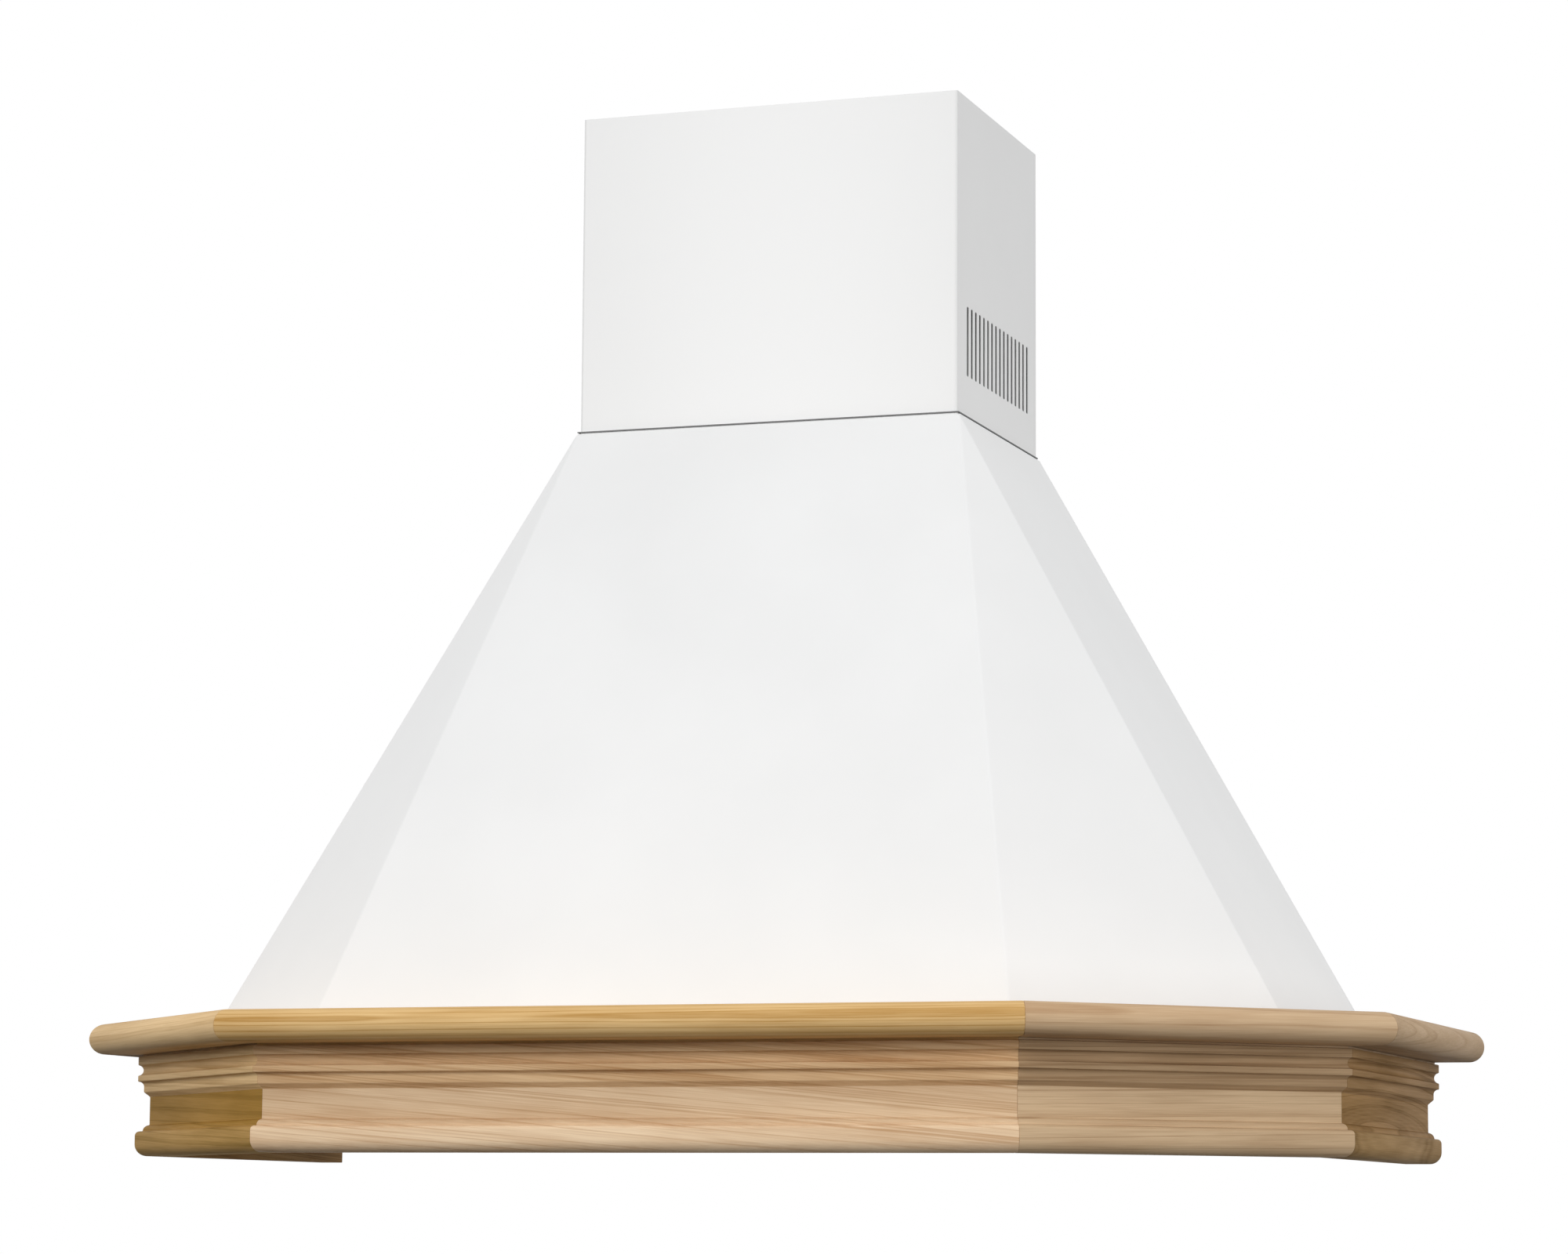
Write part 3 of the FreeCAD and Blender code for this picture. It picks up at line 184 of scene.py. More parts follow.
# %% World
def seen_directly(tree):
    """One for rays that show what is behind: to the camera, by reflection or through glass."""
    rays = add(tree, "LightPath").outputs
    seen = rays["Is Camera Ray"]
    for kind in ("Is Glossy Ray", "Is Transmission Ray"):
        seen = add(tree, "Math", {"operation": "MAXIMUM"}, seen, rays[kind]).outputs[0]
    return seen


def blend(tree, factor, first, second):
    """The first shader where the factor is 0, the second where it is 1."""
    return add(tree, "MixShader", None, factor, first.outputs[0], second.outputs[0])


SOFT_LIGHT = 0.72
world = bpy.data.worlds.new("studio")
bpy.context.scene.world = world
world.use_nodes = True
sky = world.node_tree
soft = add(sky, "Background", {"Color": ink("#f7f8fa"), "Strength": SOFT_LIGHT})
white = add(sky, "Background", {"Color": ink("#ffffff"), "Strength": 1})
ground = blend(sky, seen_directly(sky), soft, white)
sky.links.new(ground.outputs[0], sky.nodes["World Output"].inputs["Surface"])
print("world strength", soft.inputs["Strength"].default_value)


# %% Lamps
def soft_lamp(name, place, target, size, power):
    """An area lamp that looks at its target and isn't seen itself."""
    aim = (Vector(target) - Vector(place)).to_track_quat("-Z", "Y").to_euler()
    bpy.ops.object.light_add(type="AREA", location=place, rotation=aim)
    lamp = bpy.context.object
    lamp.name = name
    lamp.data.size = size
    lamp.data.energy = power
    lamp.visible_camera = False
    print(name, "size", size, "m, power", power, "W")


MIDDLE, FILTERS = (0, -0.25, -0.1), (0, -0.2, 0)
soft_lamp("front_lamp", (-1.1, -3.6, 0.8), MIDDLE, size=1.4, power=51)
soft_lamp("right_lamp", (3.3, -1.7, -0.3), MIDDLE, size=2.0, power=41)
soft_lamp("under_lamp", (0, -0.2, -0.8), FILTERS, size=0.3, power=0.25)

# %% Floor
HANGING_HEIGHT, FLOOR_SIZE = 1.6, 80
UNDERSIDE = cad_box[0][2]
bpy.ops.mesh.primitive_plane_add(size=FLOOR_SIZE, location=(0, 0, UNDERSIDE - HANGING_HEIGHT))
floor = bpy.context.object
floor.name = "floor"
# Rolled floor paint: matt and even, with a change of tone that hardly shows.
floor_paint, tree, shader, place = new_material("pale_floor_paint")
speckle = add(tree, "TexNoise", {"Scale": per_metre(125), "Detail": 4}, Vector=place)
tones = {"stops": ((0.3, "#f4f4f3"), (0.7, "#f6f6f5"))}
tone = add(tree, "ValToRGB", tones, Fac=speckle.outputs["Fac"])
lay_finish(tree, shader, tone.outputs["Color"])
shader.inputs["Roughness"].default_value = 0.8
# Rays that only light the hood meet a dull floor, so the undersides stay dark.
dull = add(tree, "BsdfDiffuse", {"Color": ink("#3a3937")})
upper_side = blend(tree, seen_directly(tree), dull, shader)
clear = add(tree, "BsdfTransparent")
both_sides = blend(tree, add(tree, "NewGeometry").outputs["Backfacing"], upper_side, clear)
tree.links.new(both_sides.outputs[0], tree.nodes["Material Output"].inputs["Surface"])
floor.data.materials.append(floor_paint)
print("floor at", round(floor.location.z, 3))

# %% [markdown]
# ## Modelling helpers
# An operator works on all that is selected, and loading leaves the CAD nodes selected, so
# each new piece starts with everything deselected. Faces are then picked in code by their
# place or normal. At the end a piece's place is applied into its mesh, it rides on a body
# of the model and stands for the CAD node whose shape it refines.


# %% Selecting
def leave_edit():
    bpy.ops.object.mode_set(mode="OBJECT")


def clear_selection():
    if bpy.context.object and bpy.context.object.mode == "EDIT":
        leave_edit()
    bpy.ops.object.select_all(action="DESELECT")


def select_only(piece):
    clear_selection()
    bpy.context.view_layer.objects.active = piece
    piece.select_set(True)


def edit(piece, mode, wanted):
    """Enter edit mode with only those faces, edges or vertices selected that wanted() picks."""
    select_only(piece)
    mesh = piece.data
    bpy.ops.object.mode_set(mode="EDIT")
    bpy.ops.mesh.select_mode(type=mode)
    bpy.ops.mesh.select_all(action="DESELECT")
    leave_edit()
    items = {"FACE": mesh.polygons, "EDGE": mesh.edges, "VERT": mesh.vertices}[mode]
    for item in items:
        item.select = bool(wanted(item))
    bpy.ops.object.mode_set(mode="EDIT")


def everything(item):
    return True


def edge_ends(piece, item):
    return [piece.data.vertices[index].co for index in item.vertices]


# %% Starting and finishing
def apply_place():
    """Put the selected piece's place, turn and size into its mesh."""
    bpy.ops.object.transform_apply(location=True, rotation=True, scale=True)


def start_box(name, low, high):
    """A box between two corners, as the block that a piece is cut from."""
    clear_selection()
    middle = (Vector(low) + Vector(high)) / 2
    bpy.ops.mesh.primitive_cube_add(size=1, location=middle)
    piece = bpy.context.object
    piece.name = name
    piece.scale = Vector(high) - Vector(low)
    apply_place()
    return piece


def finish_with(piece, kind, **settings):
    """Add a modifier and apply it."""
    select_only(piece)
    modifier = piece.modifiers.new(kind.lower(), kind)
    for key, value in settings.items():
        setattr(modifier, key, value)
    bpy.ops.object.modifier_apply(modifier=modifier.name)


def smooth(piece, degrees):
    select_only(piece)
    bpy.ops.object.shade_smooth_by_angle(angle=math.radians(degrees))


def hand_over(piece, body, node, material):
    """The piece rides on its body, stands for its CAD node and gets its finish."""
    piece.data.materials.clear()
    piece.data.materials.append(material)
    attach(piece, body)
    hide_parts(node)
    print(piece.name, "faces:", len(piece.data.polygons))


# %% [markdown]
# ## Raw wood
# The shelf and cornice are unvarnished boards, each cut from another plank, so each has
# its own tone, from golden to rosy and brown. Growth rings are uneven shells about the
# pith of the tree, so a noise that changes only with the distance from the pith gives
# them: straight lines where the pith is far off, slanting ones where the grain leans, and
# arches where the board cuts across the shells. A fine stretched noise is the fibre. Both
# are drawn in space, so the mitres and ends show them too.

# %% Measures of the figure
# Waves in a metre, along the board and in the two directions across it.
SWAY_WAVES = (4, 22, 22)  # the rings' wobble, 250 mm along and 45 mm across
FIBRE_WAVES = (25, 1600, 1600)  # 40 mm long and 0.6 mm across, a little coarser than real
DRIFT_WAVES = (9, 70, 70)  # slow changes of tone, 110 mm along and 14 mm across
RING_SWAY = 0.6  # the wobble in ring widths
# Late wood: a thin dark line wherever the noise crosses its middle, soft on one side.
LATE_WOOD = ((0.38, 0), (0.44, 0.25), (0.495, 1), (0.525, 0))
# What part of each noise darkens the wood, and by how much.
FIBRE_TONE = {"From Min": 0.3, "From Max": 0.75, "To Max": 0.34}
DRIFT_TONE = {"From Min": 0.35, "From Max": 0.7, "To Max": 0.32}
print("fibre:", [1 / wave / MM for wave in FIBRE_WAVES], "mm")


# %% Figure of the wood
def drawn_noise(tree, place, waves, settings, shift=(0, 0, 0)):
    """A noise that is drawn out, with its waves in a metre along each axis."""
    stretch = add(tree, "Mapping", {"Scale": waves, "Location": shift}, Vector=place)
    noise = add(tree, "TexNoise", {"Scale": 1, **settings}, Vector=stretch.outputs[0])
    return noise.outputs["Fac"]


def wood_figure(tree, place, turn, lean, pith, drawn_out, ring_mm, late_wood, shift):
    """How dark the wood is at each point, from 0 to 1, and its fibre."""
    board = add(tree, "Mapping", {"Rotation": (0, 0, -turn)}, Vector=place)
    slope = [math.radians(angle) for angle in (0, *lean)]
    along = add(tree, "Mapping", {"Rotation": slope}, Vector=board.outputs[0]).outputs[0]
    # Rings: the distance from the pith, with a wobble of about half a ring.
    heart = {"Scale": (drawn_out, 1, 1), "Location": [length * MM for length in pith]}
    log = add(tree, "Mapping", heart, Vector=along)
    reach = add(tree, "VectorMath", {"operation": "LENGTH"}, Vector=log.outputs[0])
    wobble = drawn_noise(tree, along, SWAY_WAVES, {"Detail": 2}, (shift, 0, shift))
    sway = {"operation": "MULTIPLY_ADD", 1: RING_SWAY * ring_mm * MM}
    swayed = add(tree, "Math", sway, wobble, None, reach.outputs["Value"])
    growth = {"noise_dimensions": "1D", "Scale": per_metre(ring_mm)}
    growth.update({"Detail": 2, "Roughness": 0.55})
    rings = add(tree, "TexNoise", growth, W=swayed.outputs[0])
    line = add(tree, "ValToRGB", {"stops": LATE_WOOD}, Fac=rings.outputs["Fac"])
    late = add(tree, "MapRange", {"To Max": late_wood}, Value=line.outputs["Color"])
    uneven = {"Detail": 3, "Roughness": 0.6}
    fibre = drawn_noise(tree, along, FIBRE_WAVES, uneven, (shift, shift, 0))
    hair = add(tree, "MapRange", FIBRE_TONE, Value=fibre)
    drift = drawn_noise(tree, along, DRIFT_WAVES, {"Detail": 2}, (0, shift * 2, shift))
    cloud = add(tree, "MapRange", DRIFT_TONE, Value=drift)
    dark = late.outputs[0]
    for part in (hair, cloud):
        total = {"operation": "ADD", "use_clamp": True}
        dark = add(tree, "Math", total, dark, part.outputs[0]).outputs[0]
    return dark, fibre


# %% Raw wood
def raw_wood(grain, name, pale, deep, *tone_bands):
    """Planed and unfinished wood: matte, with rings, fibre and slow drifts of tone."""
    material, tree, shader, place = new_material(name)
    dark, fibre = wood_figure(tree, place, *grain)
    tone = add(tree, "ValToRGB", {"stops": ((0, pale), (1, deep))}, Fac=dark)
    colour = tone.outputs["Color"]
    # Bands above given heights take another pair of tones: on the left corner a strip glued on
    # from another plank, on the front and right corner painted shade under the shelf.
    height = add(tree, "SeparateXYZ", Vector=place).outputs["Z"]
    for band_height, band_pale, band_deep in tone_bands:
        tones = {"stops": ((0, band_pale), (1, band_deep))}
        strip = add(tree, "ValToRGB", tones, Fac=dark)
        level = {"operation": "GREATER_THAN", 1: UNDERSIDE + band_height * MM}
        above = add(tree, "Math", level, height).outputs[0]
        banded = add(tree, "MixRGB", None, above, colour, strip.outputs["Color"])
        colour = banded.outputs[0]
    lay_finish(tree, shader, colour, (dark, 0.58, 0.78), (fibre, 0.25, 0.15))
    # Open fibre scatters the light, so hardly any gloss is left.
    shader.inputs["IOR"].default_value = 1.5
    shader.inputs["Specular IOR Level"].default_value = 0.1
    return material


# %% [markdown]
# ### One plank for each board
# The first table gives each board's wood with its pale and dark tone. A cornice board may have
# bands of other tones above heights given in millimetres. On the left corner the pale upper
# band is a strip glued on from another plank. On the front and the right corner the bands are
# painted shade: the upper mouldings under the shelf are darker, on the front also warmer with
# painted bounce light from the wood, and the front's fascia is darker than its bead, which is
# left paler as painted light. The second table gives the board's turn in plan, the lean of its
# grain in degrees, its pith in millimetres, how much the rings change along the board, the ring
# width in millimetres, the strength of the late wood, and a shift that makes the noise its own.

# %% Tones of the planks
BEAD_TOP, FASCIA_TOP = 17, 40
WOOD_TONES = {
    "shelf_front": ("golden_wood", "#efca8f", "#b78844"),
    "shelf_corner_left": ("beige_wood", "#efce9d", "#bd9764"),
    "shelf_corner_right": ("rose_wood", "#dcbf9a", "#aa835e"),
    "shelf_side_left": ("beige_wood_left", "#d3b48c", "#a6855c"),
    "shelf_side_right": ("tan_wood", "#cbb090", "#9b7d5c"),
    # The front's bands are painted light and shade: the bead below the fascia is left paler as
    # painted light, the fascia is darker, and the upper mouldings are darker and warmer as
    # painted shade and bounce light under the shelf.
    "cornice_front": (
        "rosy_pine_wood_painted_shade", "#ffe4c0", "#bc8b5b",
        (BEAD_TOP, "#ecd0ac", "#ae8051"), (FASCIA_TOP, "#edcb9f", "#af7e4c"),
    ),
    "cornice_corner_left": (
        "golden_brown_wood", "#c79e5f", "#896a2f",
        (BEAD_TOP, "#b28840", "#7a5b1f"), (FASCIA_TOP, "#f2d09c", "#b48e5b"),
    ),
    # The right corner's upper mouldings are darker as painted shade under the shelf.
    "cornice_corner_right": (
        "tan_cornice_wood_painted_shade", "#ddc19c", "#9e7a57",
        (FASCIA_TOP, "#c3a581", "#886846"),
    ),
    "cornice_side_left": ("brown_wood_left", "#a07a48", "#664622"),
    "cornice_side_right": (
        "brown_arched_wood", "#b49263", "#71552c",
        (BEAD_TOP, "#aa8555", "#6a4d24"), (FASCIA_TOP, "#b18d61", "#6f522a"),
    ),
}
print("planks:", len(WOOD_TONES))

# %% Grain of the planks
FRONT, SLANT, SIDE = 0, math.radians(45), math.radians(90)
STRAIGHT, ARCHED = 0.02, 0.13
WOOD_GRAIN = {
    "shelf_front": (FRONT, (0, 0), (0, 700, 240), STRAIGHT, 3.5, 0.5, 1.3),
    "shelf_corner_left": (-SLANT, (1, 0), (0, 500, 300), STRAIGHT, 9, 0.3, 4.1),
    "shelf_corner_right": (SLANT, (1, 0), (0, 500, 330), STRAIGHT, 8, 0.32, 2.2),
    "shelf_side_left": (-SIDE, (1, 0), (0, 500, 300), STRAIGHT, 9, 0.3, 7.9),
    "shelf_side_right": (SIDE, (2, 4), (0, 500, 310), STRAIGHT, 10, 0.28, 5.4),
    "cornice_front": (FRONT, (-5, 0), (0, 420, 800), STRAIGHT, 8, 0.32, 3.7),
    "cornice_corner_left": (-SLANT, (-2, 0), (0, 420, 600), STRAIGHT, 9, 0.35, 6.6),
    "cornice_corner_right": (SLANT, (1, 0), (0, 400, 640), STRAIGHT, 8, 0.4, 8.3),
    "cornice_side_left": (-SIDE, (3, 0), (0, 420, 560), STRAIGHT, 9, 0.4, 9.4),
    "cornice_side_right": (SIDE, (0, 0), (21, 402, 388), ARCHED, 9, 0.42, 1.9),
}
WOODS = {node: raw_wood(WOOD_GRAIN[node], *tones) for node, tones in WOOD_TONES.items()}
print("woods:", len(WOODS))

# %% [markdown]
# ## Sections of the boards
# A joiner makes a moulding by running its section along the board. The same is done here:
# one vertex is extruded from corner to corner along the section until it closes, and the
# outline is filled. Rounds are drawn as short chords, close enough to shade smoothly.


# %% Points of the sections
def round_off(centre, radius, first, last, steps=10):
    """Points on an arc, angles in degrees, lengths in millimetres."""
    turns = [math.radians(first + (last - first) * step / steps) for step in range(steps + 1)]
    return [(centre[0] + radius * math.cos(t), centre[1] + radius * math.sin(t)) for t in turns]


# The shelf's overhang stops short of the cornice by a fine groove, which shows as a dark line.
SHELF_THICK, SHELF_BOARD, GROOVE_HIGH, GROOVE_END = 22, 100, 1.5, 34
NOSE = (SHELF_THICK - GROOVE_HIGH) / 2
shelf_section = [(SHELF_BOARD, 0), (GROOVE_END, 0), (GROOVE_END, GROOVE_HIGH)]
shelf_section += round_off((NOSE, GROOVE_HIGH + NOSE), NOSE, 270, 90, 20)
shelf_section += [(SHELF_BOARD, SHELF_THICK)]

# The cornice from its lower back edge: distance from the front and height.
CORNICE_HIGH, CORNICE_THICK = 67, 25
cornice_section = [(CORNICE_THICK, 0)]
cornice_section += round_off((8, 8), 8, 270, 180)  # bead, lower round
cornice_section += round_off((3, 13.75), 3, 180, 90, 6)  # bead, upper round
cornice_section += round_off((9, 16.75), 4.2, 180, 90, 8)  # ovolo
cornice_section += [(9, 40), (5, 43.2)]  # fascia and chamfer
cornice_section += round_off((1.7, 46.9), 3.3, 0, 90, 8)  # lower cove
cornice_section += [(1.2, 50.4)]  # fillet
cornice_section += round_off((0.98, 57.86), 3.52, -86, 86, 14)  # upper cove
cornice_section += [(1.2, CORNICE_HIGH), (CORNICE_THICK, CORNICE_HIGH)]  # top and back
print("points:", len(shelf_section), "and", len(cornice_section))

# %% Section drawing
WELD = 0.01 * MM


def draw_section(name, points):
    clear_selection()
    bpy.ops.mesh.primitive_plane_add(size=10 * MM, location=(0, 0, 0))
    piece = bpy.context.object
    piece.name = name
    bpy.ops.object.mode_set(mode="EDIT")
    bpy.ops.mesh.merge(type="CENTER")
    bpy.ops.transform.translate(value=(0, points[0][0] * MM, points[0][1] * MM))
    for here, there in zip(points, points[1:] + points[:1]):
        step = (0, (there[0] - here[0]) * MM, (there[1] - here[1]) * MM)
        bpy.ops.mesh.extrude_region_move(TRANSFORM_OT_translate={"value": step})
    bpy.ops.mesh.select_all(action="SELECT")
    bpy.ops.mesh.remove_doubles(threshold=WELD)
    bpy.ops.mesh.edge_face_add()
    leave_edit()
    print(name, "corners:", len(piece.data.vertices), "faces:", len(piece.data.polygons))
    return piece


sections = {
    "shelf": draw_section("shelf_section", shelf_section),
    "cornice": draw_section("cornice_section", cornice_section),
}

# %% [markdown]
# ## Mitred boards
# The plan is a rectangle with two corners cut off at 45 degrees, so every mitre halves a
# 45 degree turn. Each board is a copy of its section, extruded to its length, cut at the
# ends by bisecting, with its arrises eased by a narrow bevel so that the joints show as
# fine lines, and turned to its side of the plan.

# %% Plan of the boards
WIDE, DEEP, CORNER = 900, 480, 185
MITRE = math.tan(math.radians(22.5))


def plan_lines(inset):
    """The side, the front and the two ends of the cut corner at one inset, in millimetres."""
    side_x, front_y = WIDE / 2 - inset, inset - DEEP
    corner_x = WIDE / 2 - CORNER - inset * MITRE
    corner_y = CORNER + inset * MITRE - DEEP
    return side_x, front_y, corner_x, corner_y


def board_runs(inset):
    """Place, turn, middle, length and mitred ends of the five boards at one inset."""
    side_x, front_y, corner_x, corner_y = plan_lines(inset)
    slant = math.sqrt(2) * (side_x - corner_x)
    middle = ((side_x + corner_x) / 2, (front_y + corner_y) / 2)
    return (
        ("front", FRONT, (0, front_y), 2 * corner_x, (-1, 1)),
        ("corner_left", -SLANT, (-middle[0], middle[1]), slant, (-1, 1)),
        ("corner_right", SLANT, middle, slant, (-1, 1)),
        ("side_left", -SIDE, (-side_x, corner_y / 2), -corner_y, (1,)),
        ("side_right", SIDE, (side_x, corner_y / 2), -corner_y, (-1,)),
    )


print("shelf boards, mm:", [round(run[3], 1) for run in board_runs(0)])


# %% Copies and rounded edges
def copy_of(piece, name):
    """A copy with its own mesh."""
    twin = piece.copy()
    twin.data = piece.data.copy()
    twin.name = name
    bpy.context.scene.collection.objects.link(twin)
    select_only(twin)
    return twin


def round_edges(piece, width, segments, above):
    """Bevel the edges that turn by more than so many degrees, to a width in millimetres."""
    turn = math.radians(above)
    settings = {"segments": segments, "limit_method": "ANGLE", "angle_limit": turn}
    finish_with(piece, "BEVEL", width=width * MM, **settings)


# %% Mitred boards
EASED, CORNICE_INSET = 0.5, 30


def make_board(kind, level, run):
    place, turn, middle, length, mitres = run
    node = f"{kind}_{place}"
    piece = copy_of(sections[kind], f"{place}_{kind}_board")
    edit(piece, "FACE", everything)
    half = length * MM / 2
    bpy.ops.transform.translate(value=(-half, 0, 0))
    bpy.ops.mesh.extrude_region_move(TRANSFORM_OT_translate={"value": (2 * half, 0, 0)})
    for end in mitres:
        bpy.ops.mesh.select_all(action="SELECT")
        cut = {"plane_co": (end * half, 0, 0), "plane_no": Vector((end, MITRE, 0)).normalized()}
        bpy.ops.mesh.bisect(use_fill=True, clear_outer=True, **cut)
    bpy.ops.mesh.select_all(action="SELECT")
    bpy.ops.mesh.normals_make_consistent(inside=False)
    leave_edit()
    round_edges(piece, EASED, segments=2, above=40)
    piece.rotation_euler = (0, 0, turn)
    piece.location = (middle[0] * MM, middle[1] * MM, UNDERSIDE + level * MM)
    apply_place()
    smooth(piece, degrees=32)
    hand_over(piece, "hood", node, WOODS[node])


record_slots = {part["node"]: part["material_slot"] for part in frame["record"]["subparts"]}
for kind, inset, level in (("shelf", 0, CORNICE_HIGH), ("cornice", CORNICE_INSET, 0)):
    for run in board_runs(inset):
        make_board(kind, level, run)
for section in sections.values():
    bpy.data.objects.remove(section)

# %% [markdown]
# ## White paint
# The canopy and chimney are steel sheet with sprayed white paint: a satin film with a
# faint orange peel and hardly any tone of its own. The peel is drawn about 2.5 mm wide,
# coarser than the real one, so that it still breaks up the gloss at picture size.

# %% White paint
white_paint, tree, shader, place = new_material("sprayed_white_satin_paint")
peel = add(tree, "TexNoise", {"Scale": per_metre(2.5), "Detail": 2}, Vector=place)
mist = add(tree, "TexNoise", {"Scale": per_metre(120), "Detail": 3}, Vector=place)
mist, peel = mist.outputs["Fac"], peel.outputs["Fac"]
tone = add(tree, "ValToRGB", {"stops": ((0.3, "#f1f1f0"), (0.7, "#f5f5f4"))}, Fac=mist)
lay_finish(tree, shader, tone.outputs["Color"], (mist, 0.34, 0.46), (peel, 0.06, 0.05))
shader.inputs["IOR"].default_value = 1.5
print("paint:", white_paint.name)

# %% [markdown]
# ## Canopy
# The canopy is one folded sheet: a front, two narrow corner facets that run to a point at
# the neck, and two sides. It is carved as a sculptor would: a box, five slanted cuts by
# bisecting, then the top, bottom and back are taken away, the edges turned in for the
# flange and collar, and the folds rounded before the sheet gets its thickness.

# %% Slanted faces
SHELF_TOP = UNDERSIDE + (CORNICE_HIGH + SHELF_THICK) * MM
CANOPY_INSET, NECK_X, NECK_Y = 80, 0.1375, -0.1965
INSIDE = Vector((0, -0.05, SHELF_TOP))
canopy_low, canopy_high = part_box("canopy")
NECK_Z = canopy_high.z
base_x, base_y, corner_x, corner_y = (length * MM for length in plan_lines(CANOPY_INSET))
canopy = start_box("folded_canopy", canopy_low, canopy_high)


def slice_off(piece, a, b, c):
    """Cut away what lies outside the plane through three points."""
    a, b, c = Vector(a), Vector(b), Vector(c)
    normal = (b - a).cross(c - a).normalized()
    if normal.dot(a - INSIDE) < 0:
        normal.negate()
    edit(piece, "FACE", everything)
    bpy.ops.mesh.bisect(plane_co=a, plane_no=normal, use_fill=True, clear_outer=True)
    leave_edit()


left, right = ((x, base_y, SHELF_TOP) for x in (-base_x, base_x))
slice_off(canopy, left, right, (0, NECK_Y, NECK_Z))
for sign in (-1, 1):
    neck = (sign * NECK_X, NECK_Y, NECK_Z)
    back, front = ((sign * base_x, y, SHELF_TOP) for y in (0, base_y))
    slice_off(canopy, back, front, neck)
    slice_off(
        canopy, (sign * corner_x, base_y, SHELF_TOP), (sign * base_x, corner_y, SHELF_TOP), neck
    )
print("carved faces:", len(canopy.data.polygons))

# %% Flange and collar
FLANGE, COLLAR, FOLD_WELD, FLAT = 16, 28, 0.2, 0.99


def open_up(piece):
    """Take away the top, bottom and back, so that a sheet round three sides is left."""
    edit(piece, "FACE", lambda face: abs(face.normal.z) > FLAT or face.normal.y > FLAT)
    bpy.ops.mesh.delete(type="FACE")
    leave_edit()


edit(canopy, "VERT", everything)
bpy.ops.mesh.remove_doubles(threshold=FOLD_WELD * MM)
leave_edit()
open_up(canopy)
edit(canopy, "EDGE", lambda e: all(p.z < SHELF_TOP + MM for p in edge_ends(canopy, e)))
inward = (1 - FLANGE * MM / base_x, 1 + FLANGE * MM / base_y, 1)
bpy.ops.mesh.extrude_region_move()
bpy.ops.transform.resize(value=inward, center_override=(0, 0, SHELF_TOP))
leave_edit()
edit(canopy, "EDGE", lambda e: all(p.z > NECK_Z - MM for p in edge_ends(canopy, e)))
bpy.ops.mesh.extrude_region_move(TRANSFORM_OT_translate={"value": (0, 0, -COLLAR * MM)})
leave_edit()
edit(canopy, "FACE", everything)
bpy.ops.mesh.normals_make_consistent(inside=False)
leave_edit()
print("canopy before rounding:", len(canopy.data.polygons), "faces")

# %% Rounded folds
FOLD, CANOPY_SHEET = 1.6, 1
round_edges(canopy, FOLD, segments=4, above=8)
finish_with(canopy, "SOLIDIFY", thickness=CANOPY_SHEET * MM, offset=-1)
smooth(canopy, degrees=30)
hand_over(canopy, "hood", "canopy", white_paint)

# %% [markdown]
# ## Chimney
# The chimney is a three sided box with soft bends and a row of sixteen upright slits in
# each side. A box loses its open faces, its two front edges are bevelled into bends and
# the sheet gets its thickness. One slit cutter is modelled, repeated with an Array and
# taken out of both sides with a Boolean.

# %% Bent sheet
BEND, CHIMNEY_SHEET, LONG = 2, 0.5, 0.1


def edge_spans(piece, item):
    """How far an edge reaches along x, y and z."""
    first, last = edge_ends(piece, item)
    return Vector([abs(reach) for reach in last - first])


def bevel_edges(piece, wanted, width, segments):
    edit(piece, "EDGE", wanted)
    bpy.ops.mesh.bevel(offset=width * MM, segments=segments, affect="EDGES")
    leave_edit()


def front_upright(item):
    at_front = all(p.y < chimney_low.y + MM for p in edge_ends(chimney, item))
    return at_front and edge_spans(chimney, item).z > LONG


chimney_low, chimney_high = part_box("chimney")
chimney = start_box("slitted_chimney", chimney_low, chimney_high)
open_up(chimney)
bevel_edges(chimney, front_upright, BEND, segments=5)
finish_with(chimney, "SOLIDIFY", thickness=CHIMNEY_SHEET * MM, offset=-1)
print("sheet faces:", len(chimney.data.polygons))

# %% Slits
SLITS, SLIT_WIDE, SLIT_HIGH, SLIT_ROUND, SLIT_PITCH = 16, 4, 48, 1, 9.7
ABOVE_NECK, ROW_MIDDLE, CUTTER_REACH = 29, -97.5, 0.2


def repeat(piece, count, step):
    """Copies of a piece in a row, one step apart, joined to it."""
    apart = {"use_relative_offset": False, "use_constant_offset": True}
    finish_with(piece, "ARRAY", count=count, constant_offset_displace=step, **apart)


slit_low = NECK_Z + ABOVE_NECK * MM
first = ROW_MIDDLE - SLIT_PITCH * (SLITS - 1) / 2
cutter = start_box(
    "slit_cutter",
    (-CUTTER_REACH, (first - SLIT_WIDE / 2) * MM, slit_low),
    (CUTTER_REACH, (first + SLIT_WIDE / 2) * MM, slit_low + SLIT_HIGH * MM),
)
bevel_edges(cutter, lambda e: edge_spans(cutter, e).x > LONG, SLIT_ROUND, segments=3)
repeat(cutter, SLITS, (0, SLIT_PITCH * MM, 0))
finish_with(chimney, "BOOLEAN", operation="DIFFERENCE", object=cutter, solver="EXACT")
bpy.data.objects.remove(cutter)
smooth(chimney, degrees=30)
hand_over(chimney, "chimney", "chimney", white_paint)

# %% [markdown]
# ## Grease filters
# Each filter is a pack of expanded aluminium mesh in a rim. Expanded metal is slit and
# pulled, which leaves diamonds whose strands lean a little. One diamond is a ring of four
# strands that touches its neighbours at its points, so two Arrays of one ring are the
# whole sheet. Two sheets of different pitch lie on each other.

